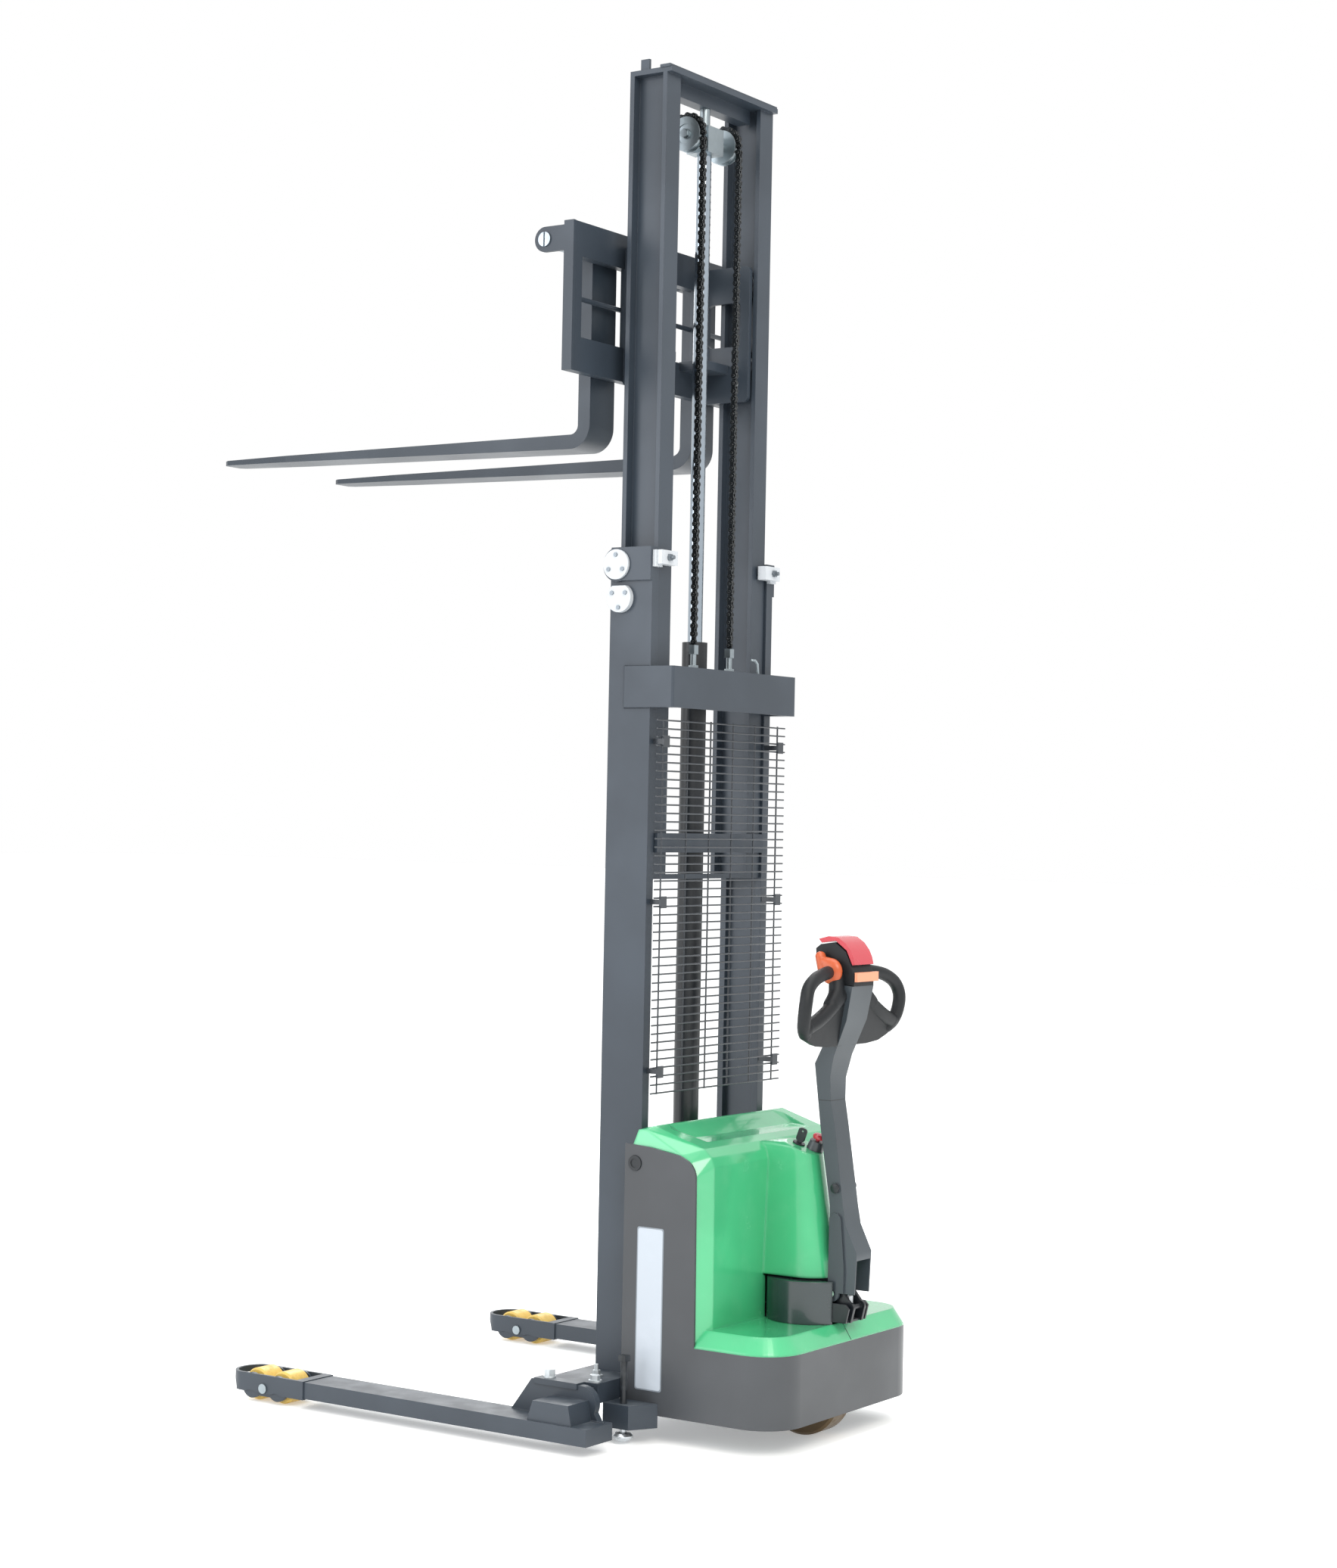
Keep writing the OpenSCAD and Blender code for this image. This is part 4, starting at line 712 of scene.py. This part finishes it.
# The handle's loop on one half: round the hand, back along the web, and up the arm
LOOP = ((64, 376, 1098), (110, 388, 1095), (160, 396, 1086), (200, 402, 1066),
        (217, 406, 1035), (217, 402, 1000), (207, 395, 974), (190, 388, 960))
LOOP_FOOT = ((196, 396, 974), (150, 399, 990), (100, 400, 1014), (36, 398, 1050))
LOOP_ROOT = ((92, 398, 1022), (64, 395, 1048), (52, 388, 1084))
FOOT_THICKER = 1.1
ROOT_THICKER = 1.2

# The web's outline as (x, z); its front face leans back from WEB_LOW up
WEB = ((24, 927), (92, 927), (146, 932), (186, 946), (206, 968), (170, 988), (110, 1012),
       (24, 1048))
WEB_LOW = 925
WEB_FRONT = 373
WEB_LEAN = 0.2
WEB_THICK = 16


class STACKER_OT_soft_handle(bpy.types.Operator):
    """Stand two tube loops with a thin web between them in for the CAD handle"""
    bl_idname = "stacker.soft_handle"
    bl_label = "Handle loops"

    def execute(self, context):
        radius = context.scene.stacker_sizes.grip_radius * 1000
        web = [(x, WEB_FRONT + (z - WEB_LOW) * WEB_LEAN, z) for x, z in WEB]
        bm = bmesh.new()
        for s in (-1, 1):
            tube(bm, mirrored(s, LOOP), radius)
            tube(bm, mirrored(s, LOOP_FOOT), radius * FOOT_THICKER)
            tube(bm, mirrored(s, LOOP_ROOT), radius * ROOT_THICKER)
            # Turned round on one half, so that both webs thicken to the rear
            plate(bm, mirrored(s, web)[::-s], WEB_THICK)
        handle = put("soft_handle", "tiller", bm, SHARED["grip"], angle=50.0)
        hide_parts("handle")
        return {"FINISHED"}


# CAD node, piece, its body, its growth in width at the top, its lift and its slot
HEAD_SHELLS = (
    ("tiller_arm", "arm_shell", "tiller", 1.6, 0, "arm_grey"),
    ("head_cover", "head_shell", "tiller", 1.58, 0, "grip_plastic"),
    ("reverse_button", "safety_cap", "reverse_button", 1.6, 0, "red_plastic"),
    ("horn_button", "horn_pad", "horn_button", 1.85, 5, "orange_plastic"))
HEAD_FORWARD = 20  # how far the upper end stands ahead of the CAD's
SPREAD_FROM = 850  # height where the arm starts to differ from the CAD's
SPREAD_OVER = 200  # and the height over which it does so

# A throttle wing: balls as (y, z) of the centre and radii, and the skins round them
WING_X = 63
WING_KNOB = (350, 1134), (14, 12, 12)
WING_LOW = (358, 1106), (13, 14, 16)
WING_BROW = (362, 1122), (13, 12, 12)
WING_HUB = (380, 1100), (16, 29, 31)
WING_SKINS = ((WING_KNOB, WING_LOW), (WING_LOW, WING_HUB), (WING_BROW, WING_HUB))
WING_STUB = ((0.1, 0), (17, 0), (17, 22), (0.1, 22))
WING_STUB_FOOT = (44, 372, 1108)


def settled(wide, lift):
    """The move that broadens the tiller's upper end and sets it forward."""
    def move(x, y, z):
        k = max(0.0, min(1.0, (z - SPREAD_FROM) / SPREAD_OVER))
        return x * (1 + (wide - 1) * k), y - HEAD_FORWARD * k, z + lift
    return move


class STACKER_OT_tiller_head(bpy.types.Operator):
    """Stand the arm's broad upper end, the head and its controls in for the CAD ones"""
    bl_idname = "stacker.tiller_head"
    bl_label = "Tiller head"

    def execute(self, context):
        shells = {}
        for node, name, body, wide, lift, slot in HEAD_SHELLS:
            paint = NODES[node].data.materials[0]
            shells[name] = put(name, body, reshaped(node, settled(wide, lift)), paint)
            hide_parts(node)
        pale = moulded("pale_orange", fixed("horn_pad"), 0.3, 0.1, edge=0.002)
        shells["horn_pad"].data.materials[0] = pale

        bm = bmesh.new()
        for s in (-1, 1):
            for skin in WING_SKINS:
                stretched(bm, [(at(s * WING_X, *centre), radii) for centre, radii in skin])
            turned(bm, WING_STUB, *mirrored(s, [WING_STUB_FOOT]), (s, 0, 0), 28)
        wings = put("throttle_wings", "throttle", bm, NODES["throttle"].data.materials[0],
                    angle=60.0)
        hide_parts("throttle")
        return {"FINISHED"}


# The leg's nose: its pivot's caps, and the skirts on both sides of the wheels
PIVOT_Z = 0.036  # metres
PIVOT_CAP = ((0.1, 0.3), (11.4, 0.3), (12.4, -0.4), (12.4, -7.8))
INNER_CHEEK = 454
SKIRT_X = (467, 561)
SKIRT_Z = 0.039  # metres
SKIRT_DISC = ((0.1, -4.5), (31, -4.5), (31, 4.5), (0.1, 4.5))
SKIRT_HALF = (4, 44)  # half the thickness and half the length of its plate
SKIRT_PLATE_Z = (16, 40)

# The leg's clamp nut and the side panel's grommet: places and turned profiles
CLAMP_NUT = (462, -122, 151)
CLAMP_WASHER = ((11.2, 0.4), (14.2, 0.4), (14.4, 0), (14.4, -4))
GROMMET = (327.2, 14, 644)
GROMMET_RIM = ((11, 3), (17.4, 3), (18, 2.4), (18, 0), (11, -0.4))
GROMMET_PLUG = ((0.1, 0.7), (11, 0.9), (11.4, 1.4))

# The tiller's fittings: places, turned profiles and the switch's two corners
PIVOT_SCREW = (44.6, 383, 344)
SCREW_HEAD = ((0.1, 4.5), (5, 4.5), (9, 3), (9.8, 1.6), (9.8, 0.5))
RUBBER_STOP = (40, 387, 590)
STOP_HEAD = ((0.1, 3), (9, 3), (11.5, 1.5), (11.5, -2))
SWITCH_BOX = ((-9, 398, 305), (9, 414, 336))
SWITCH_STEM = ((-2, 402, 335.5), (2, 406, 347))
SWITCH_ROLLER = (0, 404, 350)
ROLLER_DISC = ((0.1, -3), (5, -3), (5, 3), (0.1, 3))

HOOK = ((-118, 47, 1808), (-114, 47, 1836), (-104, 47, 1844), (-88, 47, 1844))
HOOK_RADIUS = 3.2


def side_fittings(side, s):
    """The small pieces of one leg and one side panel."""
    leg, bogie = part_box("leg_" + side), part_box("bogie_" + side)
    outer_cheek = (leg[1].x if s > 0 else -leg[0].x) * 1000
    pivot = (bogie[0] + bogie[1]) / 2
    bm = bmesh.new()
    for out, x in ((1, outer_cheek), (-1, INNER_CHEEK)):
        turned(bm, PIVOT_CAP, Vector((s * x / 1000, pivot.y, PIVOT_Z)), (s * out, 0, 0), 32)
    put("pivot_cap_" + side, "leg_" + side, bm, SHARED["zinc"])

    half_thick, half_long = SKIRT_HALF
    pivot_y = (pivot.y - DATUM) * 1000
    bm = bmesh.new()
    for x in SKIRT_X:
        for wheel in ("wheel_front_", "wheel_rear_"):
            low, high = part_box(wheel + side)
            spot = Vector((s * x / 1000, (low.y + high.y) / 2, SKIRT_Z))
            turned(bm, SKIRT_DISC, spot, (1, 0, 0), 48)
        block(bm, (s * x - half_thick, pivot_y - half_long, SKIRT_PLATE_Z[0]),
              (s * x + half_thick, pivot_y + half_long, SKIRT_PLATE_Z[1]))
    put("wheel_skirts_" + side, "leg_" + side, bm, SHARED["steel"])

    nut, = mirrored(s, [CLAMP_NUT])
    bm = bmesh.new()
    turned(bm, CLAMP_WASHER, nut, (0, 0, 1), 28)
    hexagon(bm, nut, (0, 0, 1), 24, 16.3)
    put("clamp_nut_" + side, "leg_" + side, bm, SHARED["bolt"])

    hole, = mirrored(s, [GROMMET])
    bm = bmesh.new()
    turned(bm, GROMMET_RIM, hole, (s, 0, 0), 36)
    turned(bm, GROMMET_PLUG, hole, (s, 0, 0), 36)
    put("panel_grommet_" + side, "chassis", bm, SHARED["moulding"])


def both_cheeks(profile, place):
    """A turned head on each of the tiller arm's cheeks."""
    bm = bmesh.new()
    for s in (-1, 1):
        turned(bm, profile, *mirrored(s, [place]), (s, 0, 0), 28)
    return bm


class STACKER_OT_fittings(bpy.types.Operator):
    """Add the wheels' skirts and caps, clamp nuts, grommets, the hook and the arm's fittings"""
    bl_idname = "stacker.fittings"
    bl_label = "Small fittings"

    def execute(self, context):
        for side, s in SIDES:
            side_fittings(side, s)

        # The tiller: pivot screws and rubber stops on both cheeks
        put("pivot_screws", "turret", both_cheeks(SCREW_HEAD, PIVOT_SCREW),
            bright_metal("green_zinc", fixed("pivot_screw"), 0.34))
        put("rubber_stops", "tiller", both_cheeks(STOP_HEAD, RUBBER_STOP),
            SHARED["moulding"])

        # Upright switch with its roller lever between the bracket's ears
        bm = bmesh.new()
        block(bm, *SWITCH_BOX)
        put("tilt_switch", "turret", bm, moulded("switch_white", fixed("switch"), 0.4, 0.1),
            bevel=0.001)
        bm = bmesh.new()
        block(bm, *SWITCH_STEM)
        turned(bm, ROLLER_DISC, at(*SWITCH_ROLLER), (1, 0, 0), 24)
        put("switch_lever", "turret", bm, SHARED["zinc"])

        # Bent hook over the far end of the crossbeam
        bm = bmesh.new()
        rod(bm, mirrored(1, HOOK), HOOK_RADIUS)
        put("beam_hook", "chassis", bm, SHARED["zinc"])
        return {"FINISHED"}


# The hood's seam and the bare strips of the side panels
SEAM_TOP = (0, 390, 272.2)
SEAM_FOOT = (0, 416, 233.4)
SEAM_DEPTH = 0.0006  # metres

PANEL_FACE = 327    # half width over the side panels
STRIP_BACK = 326.9  # just inside that face
STRIP_Y = (24, 99)
STRIP_Z = (119, 498)
STRIP_CORNER = 0.006  # metres
BORDER_WIDE = 3
BORDER_HIGH = 0.6   # the border's share of the strip's thickness


class STACKER_OT_panel_trim(bpy.types.Operator):
    """Add the hood's centre seam and the bare strips of the side panels"""
    bl_idname = "stacker.panel_trim"
    bl_label = "Hood and panel trim"

    def execute(self, context):
        sizes = context.scene.stacker_sizes
        top, foot = at(*SEAM_TOP), at(*SEAM_FOOT)
        turn = (foot - top).to_track_quat("Z", "X").to_matrix().to_4x4()
        size = Matrix.Diagonal((SEAM_DEPTH, sizes.seam, (foot - top).length, 1.0))
        bm = bmesh.new()
        bmesh.ops.create_cube(bm, size=1.0,
                              matrix=Matrix.Translation((top + foot) / 2) @ turn @ size)
        put("hood_seam", "chassis", bm, SHARED["moulding"])

        strip = moulded("bare_strip", fixed("strip"), 0.3, 0.05)
        border = moulded("strip_border", fixed("strip_border"), 0.3, 0.05)
        for side, s in SIDES:
            for name, edge, high, paint in (("strip_border_", 0, BORDER_HIGH, border),
                                            ("bare_strip_", BORDER_WIDE, 1, strip)):
                front = PANEL_FACE + sizes.strip * 1000 * high
                x = sorted((s * STRIP_BACK, s * front))
                bm = bmesh.new()
                block(bm, (x[0], STRIP_Y[0] + edge, STRIP_Z[0] + edge),
                      (x[1], STRIP_Y[1] - edge, STRIP_Z[1] - edge))
                corners = [e for e in bm.edges
                           if abs(e.verts[0].co.x - e.verts[1].co.x) > 1e-5]
                bmesh.ops.bevel(bm, geom=corners, offset=STRIP_CORNER, segments=4,
                                profile=0.5, affect="EDGES", material=-1)
                put(name + side, "chassis", bm, paint)
        return {"FINISHED"}


# The floor, in metres, and how much light it gives off
FLOOR_HALF = 60.0
FLOOR_Z = -0.0005
FLOOR_GLOW = 0.35

# Name, place, aim and size in metres, power and screen colour of each square lamp
LIGHTS = (
    ("key_light", (4.5, 6.0, 6.5), (0, 0, 1.2), 4.0, 380, "fffaf2"),
    ("side_light", (7.0, -3.5, 3.5), (0, 0, 1.4), 4.5, 210, "f8faff"),
    ("back_light", (-5.0, -4.0, 5.5), (0, 0, 1.6), 4.0, 220, "ffffff"),
    ("top_light", (0.0, 0.5, 7.5), (0, 0, 0), 5.0, 250, "ffffff"))

# The camera as it was fitted to the photograph: focal length and height of the
# picture in its pixels, place, and turn, tilt and roll in degrees
FOCAL_PIXELS = 3712.9
PICTURE_HIGH = 2072
SENSOR = 36
CAMERA_PLACE = (5745.7, 3749.1, 1450.0)
CAMERA_TURNS = (124.05, -0.712, -1.117)


class STACKER_OT_stage(bpy.types.Operator):
    """Set the pale floor, the soft lights and the camera at the photograph's angle"""
    bl_idname = "stacker.stage"
    bl_label = "Studio stage"

    def execute(self, context):
        scene = context.scene
        p = Paint("floor_paint")
        colour = tuple(scene.stacker_colours.floor)
        base = p.mix(p.noise(0.4, 2.0), colour, tuple(v * 0.985 for v in colour))
        paint = p.finish(base, 0.85, Emission_Color=colour, Emission_Strength=FLOOR_GLOW)
        bm = bmesh.new()
        bmesh.ops.create_grid(bm, x_segments=1, y_segments=1, size=FLOOR_HALF,
                              matrix=Matrix.Translation((0, 0, FLOOR_Z)))
        floor = linked("studio_floor", bm, paint)

        for name, place, aim, size, power, code in LIGHTS:
            lamp = bpy.data.lights.new(name, "AREA")
            lamp.shape = "SQUARE"
            lamp.size = size
            lamp.energy = power
            lamp.color = tint(code)
            holder = bpy.data.objects.new(name, lamp)
            holder.location = place
            beam = Vector(aim) - Vector(place)
            holder.rotation_euler = beam.to_track_quat("-Z", "Y").to_euler()
            scene.collection.objects.link(holder)

        world = bpy.data.worlds.new("studio_air")
        world.use_nodes = True
        air = world.node_tree.nodes["Background"]
        air.inputs["Color"].default_value = (1.0, 1.0, 1.0, 1.0)
        air.inputs["Strength"].default_value = 1.0
        scene.world = world
        scene.view_settings.view_transform = "Standard"

        camera = bpy.data.cameras.new("studio_camera")
        camera.lens = FOCAL_PIXELS / PICTURE_HIGH * SENSOR
        camera.sensor_width = SENSOR
        camera.clip_end = 200
        holder = bpy.data.objects.new("studio_camera", camera)
        turn, tilt, roll = (math.radians(v) for v in CAMERA_TURNS)
        back = Vector((math.sin(turn) * math.cos(tilt), -math.cos(turn) * math.cos(tilt),
                       math.sin(tilt)))
        right = (-back).cross(Vector((0, 0, 1))).normalized()
        up = right.cross(-back)
        across = math.cos(roll) * right - math.sin(roll) * up
        upward = math.sin(roll) * right + math.cos(roll) * up
        pose = Matrix((across, upward, back)).transposed().to_4x4()
        pose.translation = at(*CAMERA_PLACE)
        holder.matrix_world = pose
        scene.collection.objects.link(holder)
        scene.camera = holder
        return {"FINISHED"}


class STACKER_PT_sidebar(bpy.types.Panel):
    """Lists the stacker's colours, sizes and steps."""
    bl_label = "Electric stacker"
    bl_idname = "STACKER_PT_sidebar"
    bl_space_type = "VIEW_3D"
    bl_region_type = "UI"
    bl_category = "Stacker"

    def draw(self, context):
        column = self.layout.column()
        for group in (context.scene.stacker_colours, context.scene.stacker_sizes):
            for key in group.bl_rna.properties.keys():
                if key not in ("rna_type", "name"):
                    column.prop(group, key)
        for operator in OPERATORS:
            column.operator(operator.bl_idname)


OPERATORS = (STACKER_OT_paints, STACKER_OT_wheel_hubs, STACKER_OT_welds,
             STACKER_OT_chain_strands, STACKER_OT_soft_handle, STACKER_OT_tiller_head,
             STACKER_OT_fittings, STACKER_OT_panel_trim, STACKER_OT_stage)
CLASSES = (StackerColours, StackerSizes, *OPERATORS, STACKER_PT_sidebar)


def register():
    for cls in CLASSES:
        bpy.utils.register_class(cls)
    bpy.types.Scene.stacker_colours = bpy.props.PointerProperty(type=StackerColours)
    bpy.types.Scene.stacker_sizes = bpy.props.PointerProperty(type=StackerSizes)


def unregister():
    del bpy.types.Scene.stacker_sizes
    del bpy.types.Scene.stacker_colours
    for cls in reversed(CLASSES):
        bpy.utils.unregister_class(cls)


def main():
    register()
    bpy.ops.stacker.paints()
    bpy.ops.stacker.wheel_hubs()
    bpy.ops.stacker.welds()
    bpy.ops.stacker.chain_strands()
    bpy.ops.stacker.soft_handle()
    bpy.ops.stacker.tiller_head()
    bpy.ops.stacker.fittings()
    bpy.ops.stacker.panel_trim()
    bpy.ops.stacker.stage()


if __name__ == "__main__":
    main()
